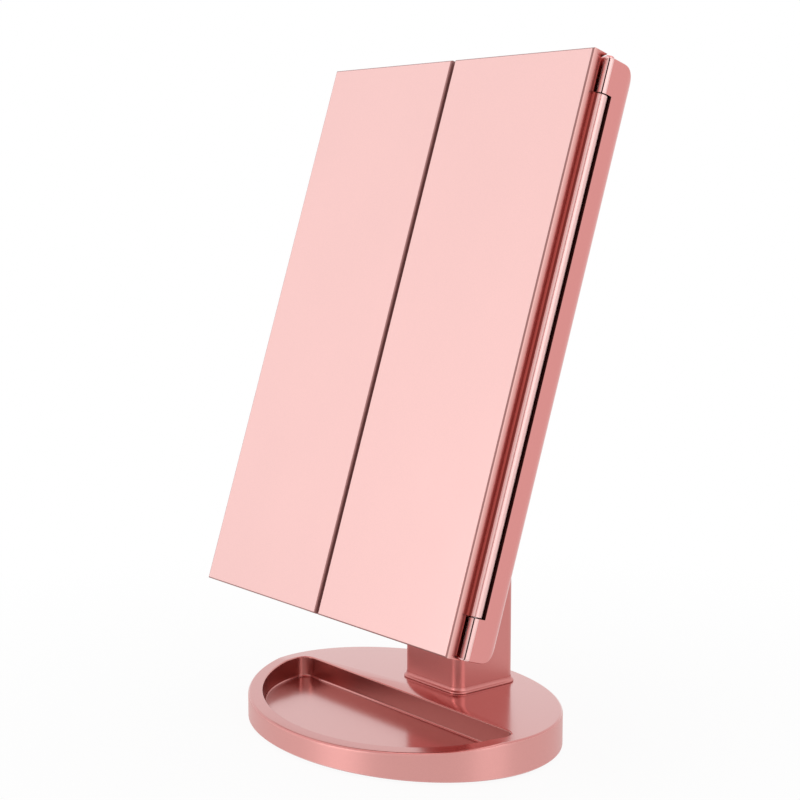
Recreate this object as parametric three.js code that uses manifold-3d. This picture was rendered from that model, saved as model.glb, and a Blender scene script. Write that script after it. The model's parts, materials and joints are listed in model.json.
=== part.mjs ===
import * as THREE from 'three';
import { mergeVertices } from 'three/addons/utils/BufferGeometryUtils.js';
import Module from 'manifold-3d';

const wasm = await Module();
wasm.setup();

// Tri-fold lighted makeup mirror, closed. Millimetres, +Z up, the front faces -Y.
// The origin lies on the table, under the middle of the oval base.

// Clearances
const seatGap = 0.3; // between pieces that seat on each other
const footSeam = 0.2; // thin dark line between the upright's collar and the deck
const through = 1; // how far a cutter runs past the face that it opens

// Facets round a circle, and along the curves
const roundSides = 20;
const smallSides = 10;
const ovalSides = 72;
const bevelSteps = 3;
const crownSteps = 12; // rounded top of the upright
const neckSteps = 10;
const trayCornerSteps = 6;
const trayFrontSteps = 46;
const scoopSteps = 12;
const barrelSteps = 12;
const barrelLandSteps = 2; // between the scoop and the groove
const wingRimSteps = 4;
const wingEdgeSteps = 3;
const leafSteps = 24;
const hollowAcross = 6; // facets of the magnifying glass
const hollowUp = 8;
const weldDistance = 1e-4; // points closer than this are one
const angleTolerance = 1e-9;

// Oval base
const baseWidth = 170.4;
const baseDepth = 129.9;
const deckHeight = 16.75; // table to the flat rear deck
const footProud = 1; // the rubber feet hold the shell this far off the table
const rimSlope = 0.1; // how fast the rim falls towards the front
const rimBreak = 13.4; // tray's back edge to the chord where the deck turns into the sloping rim
const baseEdgeRadius = 1.3;
const baseFootRadius = 0.6;
const baseWall = 2.4;
const deckThickness = 2.4;

// Half-moon tray
const trayRimWidth = 7.1;
const trayShelf = 16.2; // deck between the tray and the upright
const trayDepth = 10;
const trayCornerRadius = 6;
const trayLipChamfer = 0.7;
const trayDraft = 0.5;
const trayFloorThickness = 2;

// Underside
const coverThickness = 2;
const footRadius = 9;
const footEdge = 0.5;
const footSink = 0.7; // how deep a foot sits in the cover
const footInsetX = 33.2;
const frontFootInset = 34.95;
const rearFootInset = 30.95;
const bossRadius = 3.2;
const screwShankRadius = 1;
const screwHoleRadius = screwShankRadius + seatGap;
const screwHeadRadius = 2.8;
const screwHeadHeight = 1.7;
const screwCrownShare = 0.7; // flat top of a screw's head, of its radius
const screwRimShare = 0.5; // straight side of a screw's head, of its height
const coverScrewSink = 1;
const coverScrewBite = 5; // blind hole above the cover screws in the rim
const rearBossInset = 17.2;
const rearBossBack = 9.6; // behind the wall of the tray
const frontScrewInset = 40.2;
const ballastWidth = 96;
const ballastThickness = 4;
const ballastCorner = 5;
const ballastMargin = 2; // between the ballast and what stands round it

// Upright
const columnWidth = 41;
const columnThick = 36;
const columnSetback = 29.45; // middle of the upright to the rear of the base
const columnCorner = 5;
const columnWall = 2.5;
const columnTopBevel = 1.2;
const collarHeight = 2.6;
const collarFlare = 1.4;
const collarLand = 0.8; // straight edge of the collar above the deck
const collarTop = 0.2; // step between the collar and the upright's face
const spigotInset = 0.8;
const clampThickness = 2;
const clampLap = 6; // how far the clamp plate laps under the deck
const clampHoleWidth = 20;
const clampHoleDepth = 16;
const clampBossInset = 2.8;
const clampBossForward = 5; // clamp screws in front of the upright's middle
const clampBossHeight = 11;
const clampScrewLength = 9;
const wireHoleRadius = 2.5;

// Tilt hinge
const axisRise = 134.25; // deck to tilt axis
const slotWidth = 21;
const slotDrop = 16; // slot floor below the axis
const slotFloor = 3;
const slotBackWall = 4.5;
const slotSill = 2; // top of the wall behind the slot, below the axis
const axleRadius = 3;
const axleHeadRadius = 5.6;
const axleHeadHeight = 3;
const pocketRadius = 6.8;
const pocketDepth = 5;
const capRadius = 8;
const capThickness = 1.2;
const capDome = 0.4;
const washerRadius = 12;
const washerThickness = 1.3;
const neckRadius = 13;
const neckHighEdge = 21; // top of the neck above the axis, at its flange
const neckBevel = 0.8;
const neckReach = 23.45; // back of the head to the tilt axis
const flangeWidth = 48;
const flangeHeight = 54;
const flangeThickness = 3;
const flangeCorner = 6;
const flangeScrewInset = 7;
const flangeScrewSink = 2;
const backingThickness = 2;
const backingMargin = 1;

// Battery compartment in the upright: four AAA cells, two above two
const cellRadius = 5.25;
const cellLength = 44.5;
const cellNubRadius = 1.9;
const cellNubHeight = 1;
const cellEdge = 0.4;
const cellPitch = 11.5;
const contactRoom = 2.2; // at each end of a pair of cells
const contactThickness = 0.4;
const contactWidth = 7;
const bowShare = 0.8; // half width of a contact's bow, of a cell's radius
const batteryWall = 1.6;
const batteryTrayDepth = 13.5;
const windowLap = 2; // how far the tray's ends reach past the door opening
const windowWidth = 26;
const windowCorner = 2;
const gripWidth = 12;
const gripRidge = 0.8;
const gripPitch = 2.4;
const gripCount = 4;

// Power inlet and switch, in the rear wall of the base
const boardThickness = 1.6;
const boardWidth = 54;
const boardDepth = 12;
const boardInset = 7.45; // back edge of the board to the rear of the base
const boardLift = 1.1; // top of the cover to the board
const postInsetX = 5;
const postInsetY = 5;
const inletX = 12;
const inletWidth = 7.6;
const inletHeight = 2.8;
const inletLength = 6.4;
const inletInset = 2.05; // mouth of the inlet to the rear of the base
const inletSkin = 0.4;
const tongueShare = 0.2; // thickness of the inlet's tongue, of its height
const switchX = -12;
const switchWidth = 9.4;
const switchHeight = 4;
const switchLength = 5;
const switchMouth = 2.5; // depth of the hollow that the knob's stem slides in
const knobWidth = 3;
const knobHeight = 2.2;
const knobProud = 0.5;
const knobTravel = 4;
const knobStem = 1.5; // stem inside the switch body
const thumbRecess = 1.2;
const thumbWidth = 13;
const thumbHeight = 5.4;

// Head: x across, y from the front faces backwards, z up the leaning panel
const headWidth = 180;
const headHeight = 260.1;
const headDepth = 30;
const headLean = THREE.MathUtils.degToRad(17.91);
const axisUpHead = 110.4; // bottom edge of the head to the tilt axis
const wingThickness = 8.2;
const wingGap = 1.6; // seam between the two wings
const wingEdgeRadius = 0.8;
const wingRimRadius = 1;
const wingSkin = 1.8;
const hingeRadius = 3;
const hingeAxisDepth = 12.95;
const lowerKnuckle = 18;
const upperKnuckle = 16;
const knuckleGap = 0.4;
const scoopStart = 1.5;
const scoopRun = 3.5; // how far back the scoop follows the side
const scoopPull = 4.2; // how hard it then turns in and back out to the barrel
const scoopEnd = THREE.MathUtils.degToRad(-65); // where the scoop runs into the barrel
const groove = THREE.MathUtils.degToRad(-40); // fine groove along the barrel
const grooveHalf = THREE.MathUtils.degToRad(3.5);
const grooveDepth = 0.5;
const pinRadius = 1;
const pinHoleRadius = pinRadius + seatGap;
const pinLength = 26;
const pinInset = 4; // end of the head to the outer end of a pin
const slotClearance = 0.7; // inboard of the barrel
const slotRearClearance = 0.45; // behind the barrel

// Casing and front frame
const casingWall = 2.2;
const sideFillet = 8;
const topFillet = 10;
const backCorner = 9;
const frontCorner = 1;
const cavityCorner = 3;
const filletSteps = 5;
const frameFlange = 0.9; // also the rounding of the head's top and bottom front edges
const frameThickness = 5;
const lightLap = 0.6; // ledge that a light window rests on
const glassThickness = 3;
const glassRecess = 0.3;
const mirrorLow = 16;
const mirrorDrop = 22.1; // top of the head to the top of the mirror
const lightHalfWidth = 3;
const lightInset = 7.6; // middle of a light to the plug's seat in the casing
const lightBorder = 3.5; // between a light and the mirror
const lightLow = 22;
const lightDrop = 28.1;
const topLightDrop = 13.6;
const topLightInset = 7; // end of the top light to the side of the mirror
const lightThickness = 2;
const channelWall = 1.2;
const channelDepth = 4;
const stripThickness = 1.6;
const ledWidth = 3.5;
const ledLength = 2.8;
const ledHeight = 1.9;
const sideLeds = 8;
const topLeds = 5;
const sensorSize = 18;
const sensorThickness = 1.2;
const sensorUp = 30;
const postInset = 13; // casing screws to the side of the mirror
const postLow = 42;
const postDrop = 42.1;
const casingBossRadius = 4.6;
const casingBossHeight = 3.4;
const counterboreRadius = 3.2;
const counterboreDepth = 3;
const controlWidth = 56;
const controlHeight = 30;
const controlDrop = 70.1;
const controlPostX = 20;
const chipShare = 1 / 3; // of the control board's size
const standoffHeight = 3;

// Wing mirrors
const wingFrameLip = 5;
const wingFrameFloor = 1.2;
const wingFrameWall = 1.6;
const wingFrameSink = 0.2;
const wingGlass = 2.2;
const wingGlassRecess = 0.3;
const wingHingeWeb = 2.5; // solid edge of a wing, inboard of its barrel
const magnifierBar = 6;
const magnifierSplit = 96; // middle of the bar, up from the bottom of the wing
const magnifierSag = 0.5; // hollow of the magnifying glass

// Levels and places that follow from the sizes above
const columnCentreY = baseDepth / 2 - columnSetback;
const columnBackY = columnCentreY + columnThick / 2;
const columnFrontY = columnCentreY - columnThick / 2;
const trayBackY = columnFrontY - trayShelf;
const rimBreakY = trayBackY - rimBreak;
const trayFloor = deckHeight - trayDepth;
const underTray = trayFloor - trayFloorThickness;
const deckUnderside = deckHeight - deckThickness;
const behindTray = trayBackY + trayLipChamfer + baseWall;
const coverTop = footProud + coverThickness;
const columnFoot = deckHeight + footSeam;
const axisZ = deckHeight + axisRise;
const slotBottom = axisZ - slotDrop;
const clampTop = deckUnderside - seatGap;
const clampBottom = clampTop - clampThickness;
const clampBossX = columnWidth / 2 - columnWall - clampBossInset;
const clampBossY = columnCentreY - clampBossForward;
const clampBossTop = deckUnderside + clampBossHeight;
const batteryBottom = clampBossTop + seatGap;
const bayLength = 2 * cellLength + seatGap + 2 * contactRoom;
const batteryTop = batteryBottom + bayLength + 2 * batteryWall;
const batteryBackY = columnBackY - columnWall - seatGap;
const batteryFrontY = batteryBackY - batteryTrayDepth;
const cellY = batteryFrontY + batteryWall + seatGap + cellRadius;
const windowLow = batteryBottom + windowLap;
const windowHigh = batteryTop - windowLap;
const neckHalf = slotWidth / 2 - 2 * seatGap - washerThickness;
const footSpreadX = baseWidth / 2 - footInsetX;
const frontFootY = frontFootInset - baseDepth / 2;
const rearFootY = baseDepth / 2 - rearFootInset;
const rearBossX = baseWidth / 2 - rearBossInset;
const rearBossY = behindTray + rearBossBack;
const frontScrewX = baseWidth / 2 - frontScrewInset;
const boardBackY = baseDepth / 2 - boardInset;
const boardBottom = coverTop + boardLift;
const boardTop = boardBottom + boardThickness;
const inletBackY = baseDepth / 2 - inletInset;
const inletZ = boardTop + seatGap + inletHeight / 2;
const switchZ = boardTop + seatGap + switchHeight / 2;
const halfHead = headWidth / 2;
const hingeX = halfHead - hingeRadius;
const upperStep = headHeight - upperKnuckle;
const framePlane = hingeAxisDepth - hingeRadius;
const frameSeam = framePlane + frameFlange;
const casingFront = frameSeam + seatGap;
const slotX = hingeX - hingeRadius - slotClearance;
const slotRear = hingeAxisDepth + hingeRadius + slotRearClearance;
const cavityX = slotX - casingWall;
const cavityBack = headDepth - casingWall;
const lightX = cavityX - lightInset;
const mirrorHalfWidth = lightX - lightHalfWidth - lightBorder;
const mirrorHigh = headHeight - mirrorDrop;
const lightHigh = headHeight - lightDrop;
const topLightZ = headHeight - topLightDrop;
const topLightHalf = mirrorHalfWidth - topLightInset;
const postX = mirrorHalfWidth - postInset;
const postHigh = headHeight - postDrop;
const controlUp = headHeight - controlDrop;
const plugBack = framePlane + frameThickness;
const channelBack = plugBack + channelDepth;
const stripFront = channelBack + seatGap;
const glassFront = framePlane + glassRecess;
const glassBack = glassFront + glassThickness;
const postBack = cavityBack - casingBossHeight - seatGap;
const wingEdgeX = wingGap / 2;
const wingPocketX = hingeX - hingeRadius - wingHingeWeb;
const wingFrameBack = wingThickness - wingFrameSink;
const wingFrameFront = wingSkin + seatGap;
const wingGlassBack = wingFrameBack - wingGlassRecess;
const wingGlassFront = wingGlassBack - wingGlass;
const sides = [-1, 1];

// Finishes
const finish = (color, metalness, roughness) =>
  new THREE.MeshStandardMaterial({ color, metalness, roughness });
const roseSatin = finish(0xe9aaa6, 0.75, 0.35);
const roseGloss = finish(0xd98d8a, 0.7, 0.25);
const whitePlastic = finish(0xf2eeee, 0, 0.45);
const darkPlastic = finish(0x2c2a2b, 0, 0.6);
const mirrorGlass = finish(0xdfe6ea, 1, 0.03);
const frosted = finish(0xfbfaf6, 0, 0.55);
const steel = finish(0xb9bcc0, 0.9, 0.35);
const contactMetal = finish(0xd2cdbf, 0.9, 0.3);
const rubber = finish(0x3a3636, 0, 0.85);
const boardGreen = finish(0x1f5b3c, 0.1, 0.5);
const boardWhite = finish(0xf4f4ef, 0.05, 0.5);
const cellJacket = finish(0x4d5157, 0.3, 0.45);

// Closed surfaces and solids
function closeUp(geometry) {
  const bare = geometry.clone();
  bare.deleteAttribute('normal');
  bare.deleteAttribute('uv');
  const merged = mergeVertices(bare, weldDistance);
  const from = merged.index.array;
  const index = [];
  for (let i = 0; i < from.length; i += 3) {
    const [a, b, c] = [from[i], from[i + 1], from[i + 2]];
    if (a !== b && b !== c && c !== a) index.push(a, b, c);
  }
  merged.setIndex(index);
  merged.computeVertexNormals();
  return merged;
}

function toSolid(geometry) {
  const closed = closeUp(geometry);
  const mesh = new wasm.Mesh({
    numProp: 3,
    vertProperties: Float32Array.from(closed.attributes.position.array),
    triVerts: Uint32Array.from(closed.index.array),
  });
  return new wasm.Manifold(mesh);
}

function toGeometry(solid) {
  const made = solid.getMesh();
  const geometry = new THREE.BufferGeometry();
  geometry.setAttribute('position', new THREE.BufferAttribute(made.vertProperties, 3));
  geometry.setIndex(new THREE.BufferAttribute(made.triVerts, 1));
  geometry.computeVertexNormals();
  return geometry;
}

const join = (geometries) => geometries.map((g) => toSolid(g)).reduce((a, b) => a.add(b));
const cut = (solid, geometries) => geometries.reduce((a, g) => a.subtract(toSolid(g)), solid);

function place(group, name, shape, material) {
  const geometry = shape.isBufferGeometry ? closeUp(shape) : toGeometry(shape);
  const mesh = new THREE.Mesh(geometry, material);
  mesh.name = name;
  group.add(mesh);
}

function signedVolume(points, index) {
  let total = 0;
  for (let i = 0; i < index.length; i += 3) {
    const [a, b, c] = [points[index[i]], points[index[i + 1]], points[index[i + 2]]];
    total += a.dot(b.clone().cross(c));
  }
  return total;
}

// Skin over rings of equally many points, closed by a fan at each end
function loft(rings) {
  const count = rings[0].length;
  const points = rings.flat();
  const index = [];
  for (let r = 0; r + 1 < rings.length; r += 1) {
    for (let i = 0; i < count; i += 1) {
      const a = r * count + i;
      const b = r * count + ((i + 1) % count);
      index.push(a, b, b + count, a, b + count, a + count);
    }
  }
  const addFan = (ring, first, turn) => {
    points.push(ring.reduce((sum, p) => sum.add(p), new THREE.Vector3()).divideScalar(count));
    for (let i = 0; i < count; i += 1) {
      const edge = [first + i, first + ((i + 1) % count)];
      if (turn) edge.reverse();
      index.push(points.length - 1, ...edge);
    }
  };
  addFan(rings[0], 0, true);
  addFan(rings[rings.length - 1], (rings.length - 1) * count, false);
  if (signedVolume(points, index) < 0) index.reverse();
  const geometry = new THREE.BufferGeometry().setFromPoints(points);
  geometry.setIndex(index);
  return geometry;
}

// Extrusion along an axis: z of an (x, y) shape, x of a (y, z) shape or y of an (x, z) shape
const unit = {
  x: new THREE.Vector3(1, 0, 0),
  y: new THREE.Vector3(0, 1, 0),
  z: new THREE.Vector3(0, 0, 1),
};

function extrude(axis, shape, from, to, { bevel = 0, curveSegments = 3 } = {}) {
  const geometry = new THREE.ExtrudeGeometry(shape, {
    depth: to - from - 2 * bevel,
    bevelEnabled: bevel > 0,
    bevelThickness: bevel,
    bevelSize: bevel,
    bevelOffset: -bevel,
    bevelSegments: bevelSteps,
    curveSegments,
  });
  geometry.translate(0, 0, bevel);
  const turn = new THREE.Matrix4();
  if (axis === 'x') turn.makeBasis(unit.y, unit.z, unit.x).setPosition(from, 0, 0);
  if (axis === 'y') turn.makeBasis(unit.x, unit.z, unit.y.clone().negate()).setPosition(0, to, 0);
  if (axis === 'z') turn.setPosition(0, 0, from);
  return geometry.applyMatrix4(turn);
}

function box(x0, x1, y0, y1, z0, z1) {
  const geometry = new THREE.BoxGeometry(x1 - x0, y1 - y0, z1 - z0);
  return geometry.translate((x0 + x1) / 2, (y0 + y1) / 2, (z0 + z1) / 2);
}

// Straight round bar along an axis, between two stations, at u and v on the other two axes
function bar(axis, radius, from, to, u, v, facets = roundSides) {
  const [low, high] = [Math.min(from, to), Math.max(from, to)];
  const geometry = new THREE.CylinderGeometry(radius, radius, high - low, facets);
  const middle = (low + high) / 2;
  if (axis === 'x') return geometry.rotateZ(Math.PI / 2).translate(middle, u, v);
  if (axis === 'y') return geometry.translate(u, middle, v);
  return geometry.rotateX(Math.PI / 2).translate(u, v, middle);
}

function roundedRect(width, height, radius, centreX = 0, centreY = 0) {
  const [w, h] = [width / 2 - radius, height / 2 - radius];
  const shape = new THREE.Shape();
  shape.absarc(centreX + w, centreY - h, radius, -Math.PI / 2, 0);
  shape.absarc(centreX + w, centreY + h, radius, 0, Math.PI / 2);
  shape.absarc(centreX - w, centreY + h, radius, Math.PI / 2, Math.PI);
  shape.absarc(centreX - w, centreY - h, radius, Math.PI, 1.5 * Math.PI);
  return shape;
}

function arcPoints(cx, cy, radius, from, to, steps) {
  const points = [];
  for (let i = 0; i <= steps; i += 1) {
    const angle = from + ((to - from) * i) / steps;
    points.push([cx + radius * Math.cos(angle), cy + radius * Math.sin(angle)]);
  }
  return points;
}

function outlineShape(points) {
  return new THREE.Shape(points.map(([x, y]) => new THREE.Vector2(x, y)));
}

// Oval base
function rimHeight(y) {
  return deckHeight - rimSlope * Math.max(0, rimBreakY - y);
}

function ovalRing(inset, heightAt) {
  const ring = [];
  for (let i = 0; i < ovalSides; i += 1) {
    const angle = (2 * Math.PI * i) / ovalSides;
    const x = (baseWidth / 2 - inset) * Math.cos(angle);
    const y = (baseDepth / 2 - inset) * Math.sin(angle);
    ring.push(new THREE.Vector3(x, y, heightAt(y)));
  }
  return ring;
}

function ovalSlab(inset, low, high) {
  return loft([ovalRing(inset, () => low), ovalRing(inset, () => high)]);
}

function baseBody() {
  const rings = [ovalRing(baseFootRadius, () => footProud)];
  rings.push(ovalRing(0, () => footProud + baseFootRadius));
  const steps = 4;
  for (let i = 0; i <= steps; i += 1) {
    const angle = (Math.PI / 2) * (i / steps);
    const inset = baseEdgeRadius * (1 - Math.cos(angle));
    const drop = baseEdgeRadius * (1 - Math.sin(angle));
    rings.push(ovalRing(inset, (y) => rimHeight(y) - drop));
  }
  const deckEdge = ovalRing(trayRimWidth + trayLipChamfer, () => deckHeight);
  rings.push(deckEdge.map((p) => new THREE.Vector3(p.x, Math.max(p.y, rimBreakY), p.z)));
  return loft(rings);
}

// Half-moon outline, grown outwards by grow: an oval cut off straight at the back, with round corners
function trayOutline(grow) {
  const rx = baseWidth / 2 - trayRimWidth + grow;
  const ry = baseDepth / 2 - trayRimWidth + grow;
  const radius = trayCornerRadius + grow;
  const backY = trayBackY + grow;
  const normalAt = (angle) =>
    new THREE.Vector2(Math.cos(angle) / rx, Math.sin(angle) / ry).normalize();
  let [low, high] = [-Math.PI / 4, Math.PI / 4];
  while (high - low > angleTolerance) {
    const middle = (low + high) / 2;
    const cornerY = ry * Math.sin(middle) - radius * normalAt(middle).y;
    if (cornerY > backY - radius) high = middle;
    else low = middle;
  }
  const normal = normalAt(low);
  const cornerX = rx * Math.cos(low) - radius * normal.x;
  const start = Math.atan2(normal.y, normal.x);
  const right = arcPoints(cornerX, backY - radius, radius, start, Math.PI / 2, trayCornerSteps);
  const left = right.map(([x, y]) => [-x, y]).reverse();
  const front = [];
  for (let i = 1; i < trayFrontSteps; i += 1) {
    const angle = Math.PI - low + (Math.PI + 2 * low) * (i / trayFrontSteps);
    front.push([rx * Math.cos(angle), ry * Math.sin(angle)]);
  }
  return [...right, ...left, ...front];
}

function trayHollow() {
  const ring = (grow, heightAt) =>
    trayOutline(grow).map(([x, y]) => new THREE.Vector3(x, y, heightAt(y)));
  return loft([
    ring(-trayDraft, () => trayFloor),
    ring(0, (y) => rimHeight(y) - trayLipChamfer),
    ring(trayLipChamfer, (y) => rimHeight(y)),
    ring(trayLipChamfer, () => deckHeight + trayDepth),
  ]);
}

// Outer face of the base, front or rear, at a station across it
function baseFaceY(x) {
  return (baseDepth / 2) * Math.sqrt(1 - (x / (baseWidth / 2)) ** 2);
}

const coverScrews = sides.flatMap((side) => [
  [side * rearBossX, rearBossY],
  [side * frontScrewX, trayRimWidth / 2 - baseFaceY(frontScrewX)],
]);

const spigotOutline = (grow) =>
  roundedRect(
    columnWidth - 2 * spigotInset + 2 * grow,
    columnThick - 2 * spigotInset + 2 * grow,
    columnCorner - spigotInset + grow,
    0,
    columnCentreY,
  );

function baseShell() {
  const rearRoom = toSolid(ovalSlab(baseWall, underTray - through, deckUnderside)).intersect(
    toSolid(box(-baseWidth, baseWidth, behindTray, baseDepth, 0, deckHeight)),
  );
  const wallCut = (x, width, z, height, innerY) =>
    box(x - width / 2, x + width / 2, innerY, baseDepth, z - height / 2, z + height / 2);
  const outside = baseFaceY(switchX);
  const hollowed = cut(toSolid(baseBody()).subtract(rearRoom), [
    trayHollow(),
    ovalSlab(baseWall, 0, underTray),
    extrude('z', spigotOutline(seatGap), deckUnderside - through, deckHeight + through),
    wallCut(inletX, inletWidth + 2 * seatGap, inletZ, inletHeight + 2 * seatGap, boardBackY),
    wallCut(
      switchX + knobTravel / 2,
      knobWidth + knobTravel + 2 * seatGap,
      switchZ,
      knobHeight + 2 * seatGap,
      boardBackY,
    ),
    wallCut(switchX + knobTravel / 2, thumbWidth, switchZ, thumbHeight, outside - thumbRecess),
  ]);
  const bosses = sides.map((side) =>
    bar('z', bossRadius, coverTop + seatGap, deckUnderside + through, side * rearBossX, rearBossY),
  );
  const holes = coverScrews.map(([x, y]) =>
    bar('z', screwHoleRadius, 0, underTray + coverScrewBite, x, y, smallSides),
  );
  return cut(hollowed.add(join(bosses)), holes);
}

const feet = {
  foot_front_left: [-footSpreadX, frontFootY],
  foot_front_right: [footSpreadX, frontFootY],
  foot_rear_left: [-footSpreadX, rearFootY],
  foot_rear_right: [footSpreadX, rearFootY],
};

function baseCover() {
  const posts = sides.map((side) =>
    bar(
      'z',
      bossRadius,
      coverTop - through,
      boardBottom - seatGap,
      side * (boardWidth / 2 - postInsetX),
      boardBackY - postInsetY,
      smallSides,
    ),
  );
  const footRoom = Object.values(feet).map(([x, y]) =>
    bar('z', footRadius + seatGap, 0, footProud + footSink + seatGap, x, y),
  );
  const screwRoom = coverScrews.flatMap(([x, y]) => [
    bar('z', screwHeadRadius + seatGap, 0, footProud + coverScrewSink, x, y, smallSides),
    bar('z', screwHoleRadius, 0, coverTop + through, x, y, smallSides),
  ]);
  const plate = ovalSlab(baseWall + seatGap, footProud, coverTop);
  return cut(join([plate, ...posts]), [...footRoom, ...screwRoom]);
}

function foot(x, y) {
  const top = footProud + footSink;
  const profile = [
    new THREE.Vector2(0, 0),
    new THREE.Vector2(footRadius - footEdge, 0),
    new THREE.Vector2(footRadius, footEdge),
    new THREE.Vector2(footRadius, top),
    new THREE.Vector2(0, top),
  ];
  return new THREE.LatheGeometry(profile, roundSides).rotateX(Math.PI / 2).translate(x, y, 0);
}

function ballastPlate() {
  const front = behindTray + ballastMargin;
  const back = boardBackY - boardDepth - ballastMargin;
  const low = coverTop + seatGap;
  const shape = roundedRect(ballastWidth, back - front, ballastCorner, 0, (front + back) / 2);
  return extrude('z', shape, low, low + ballastThickness);
}

// Upright
function columnRing(grow, z) {
  const shape = roundedRect(columnWidth + 2 * grow, columnThick + 2 * grow, columnCorner + grow);
  const corner = 3;
  const points = shape.getPoints(corner).slice(0, -1);
  return points.map((p) => new THREE.Vector3(p.x, p.y + columnCentreY, z));
}

function columnOuter() {
  const footprint = roundedRect(columnWidth, columnThick, columnCorner, 0, columnCentreY);
  const side = new THREE.Shape();
  side.moveTo(columnFrontY, 0);
  side.lineTo(columnBackY, 0);
  side.absarc(columnCentreY, axisZ, columnThick / 2, 0, Math.PI);
  const half = columnWidth / 2;
  const post = toSolid(extrude('z', footprint, columnFoot, axisZ + columnThick)).intersect(
    toSolid(extrude('x', side, -half, half, { bevel: columnTopBevel, curveSegments: crownSteps })),
  );
  const collar = loft([
    columnRing(collarFlare, columnFoot),
    columnRing(collarFlare, columnFoot + collarLand),
    columnRing(collarFlare / 2, columnFoot + (collarLand + collarHeight) / 2),
    columnRing(collarTop, columnFoot + collarHeight),
  ]);
  const spigot = extrude('z', spigotOutline(0), deckUnderside, columnFoot + through);
  return post.add(join([collar, spigot]));
}

const windowOutline = (grow) =>
  roundedRect(
    windowWidth + 2 * grow,
    windowHigh - windowLow + 2 * grow,
    windowCorner + grow,
    0,
    (windowLow + windowHigh) / 2,
  );

function hingePockets() {
  return sides.flatMap((side) => {
    const outside = side * (columnWidth / 2 + through);
    const floor = side * (columnWidth / 2 - pocketDepth);
    const seat = side * (columnWidth / 2 - capThickness - seatGap);
    return [
      bar('x', pocketRadius, floor, outside, columnCentreY, axisZ),
      bar('x', capRadius + seatGap, seat, outside, columnCentreY, axisZ),
    ];
  });
}

function columnShell() {
  const room = roundedRect(
    columnWidth - 2 * columnWall,
    columnThick - 2 * columnWall,
    columnCorner - columnWall,
    0,
    columnCentreY,
  );
  const bosses = sides.map((side) =>
    bar('z', bossRadius, deckUnderside, clampBossTop, side * clampBossX, clampBossY),
  );
  const holes = sides.map((side) =>
    bar('z', screwHoleRadius, 0, clampBossTop - through, side * clampBossX, clampBossY, smallSides),
  );
  const slotHalf = slotWidth / 2;
  const hollow = cut(columnOuter(), [extrude('z', room, 0, slotBottom - slotFloor)]);
  return cut(hollow.add(join(bosses)), [
    ...holes,
    box(-slotHalf, slotHalf, 0, columnBackY - slotBackWall, slotBottom, axisZ + columnThick),
    box(-slotHalf, slotHalf, columnCentreY, baseDepth, axisZ - slotSill, axisZ + columnThick),
    bar('x', axleRadius + seatGap, -columnWidth, columnWidth, columnCentreY, axisZ),
    ...hingePockets(),
    extrude('y', windowOutline(0), columnBackY - columnWall - through, columnBackY + through),
    bar('z', wireHoleRadius, batteryTop, slotBottom + through, 0, clampBossY, smallSides),
  ]);
}

function clampPlate() {
  const plate = extrude('z', spigotOutline(clampLap), clampBottom, clampTop);
  const opening = roundedRect(clampHoleWidth, clampHoleDepth, columnWall, 0, columnCentreY);
  return cut(toSolid(plate), [
    extrude('z', opening, clampBottom - through, clampTop + through),
    ...sides.map((side) =>
      bar('z', screwHoleRadius, 0, deckHeight, side * clampBossX, clampBossY, smallSides),
    ),
  ]);
}

// Pan-head screw along Z, its head's seat at height 0 and its shank pointing up
function screw(length) {
  const profile = [
    new THREE.Vector2(0, -screwHeadHeight),
    new THREE.Vector2(screwHeadRadius * screwCrownShare, -screwHeadHeight),
    new THREE.Vector2(screwHeadRadius, -screwHeadHeight * screwRimShare),
    new THREE.Vector2(screwHeadRadius, 0),
    new THREE.Vector2(screwShankRadius, 0),
    new THREE.Vector2(screwShankRadius, length),
    new THREE.Vector2(0, length),
  ];
  return new THREE.LatheGeometry(profile, smallSides).rotateX(Math.PI / 2);
}

// Battery compartment
function batteryTray() {
  const half = columnWidth / 2 - columnWall - seatGap;
  const corner = columnCorner - columnWall - seatGap;
  const middleY = (batteryFrontY + batteryBackY) / 2;
  const outline = roundedRect(2 * half, batteryTrayDepth, corner, 0, middleY);
  const bayLow = batteryBottom + batteryWall;
  const bayHigh = batteryTop - batteryWall;
  const seatRadius = cellRadius + seatGap;
  const openHalf = cellPitch / 2 + seatRadius;
  const leafFrontY = cellY - contactWidth / 2 - seatGap;
  return cut(toSolid(extrude('z', outline, batteryBottom, batteryTop)), [
    ...sides.map((side) => bar('z', seatRadius, bayLow, bayHigh, (side * cellPitch) / 2, cellY)),
    box(-openHalf, openHalf, cellY, columnBackY, bayLow, bayHigh),
    box(-openHalf, openHalf, leafFrontY, columnBackY, bayLow, bayLow + contactRoom),
    box(-openHalf, openHalf, leafFrontY, columnBackY, bayHigh - contactRoom, bayHigh),
  ]);
}

// One cell standing on its flat end at height 0
function cell() {
  const shoulder = cellLength - cellNubHeight;
  const profile = [
    new THREE.Vector2(0, 0),
    new THREE.Vector2(cellRadius - cellEdge, 0),
    new THREE.Vector2(cellRadius, cellEdge),
    new THREE.Vector2(cellRadius, shoulder - cellEdge),
    new THREE.Vector2(cellRadius - cellEdge, shoulder),
    new THREE.Vector2(cellNubRadius, shoulder),
    new THREE.Vector2(cellNubRadius, cellLength),
    new THREE.Vector2(0, cellLength),
  ];
  return new THREE.LatheGeometry(profile, roundSides).rotateX(Math.PI / 2);
}

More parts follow.
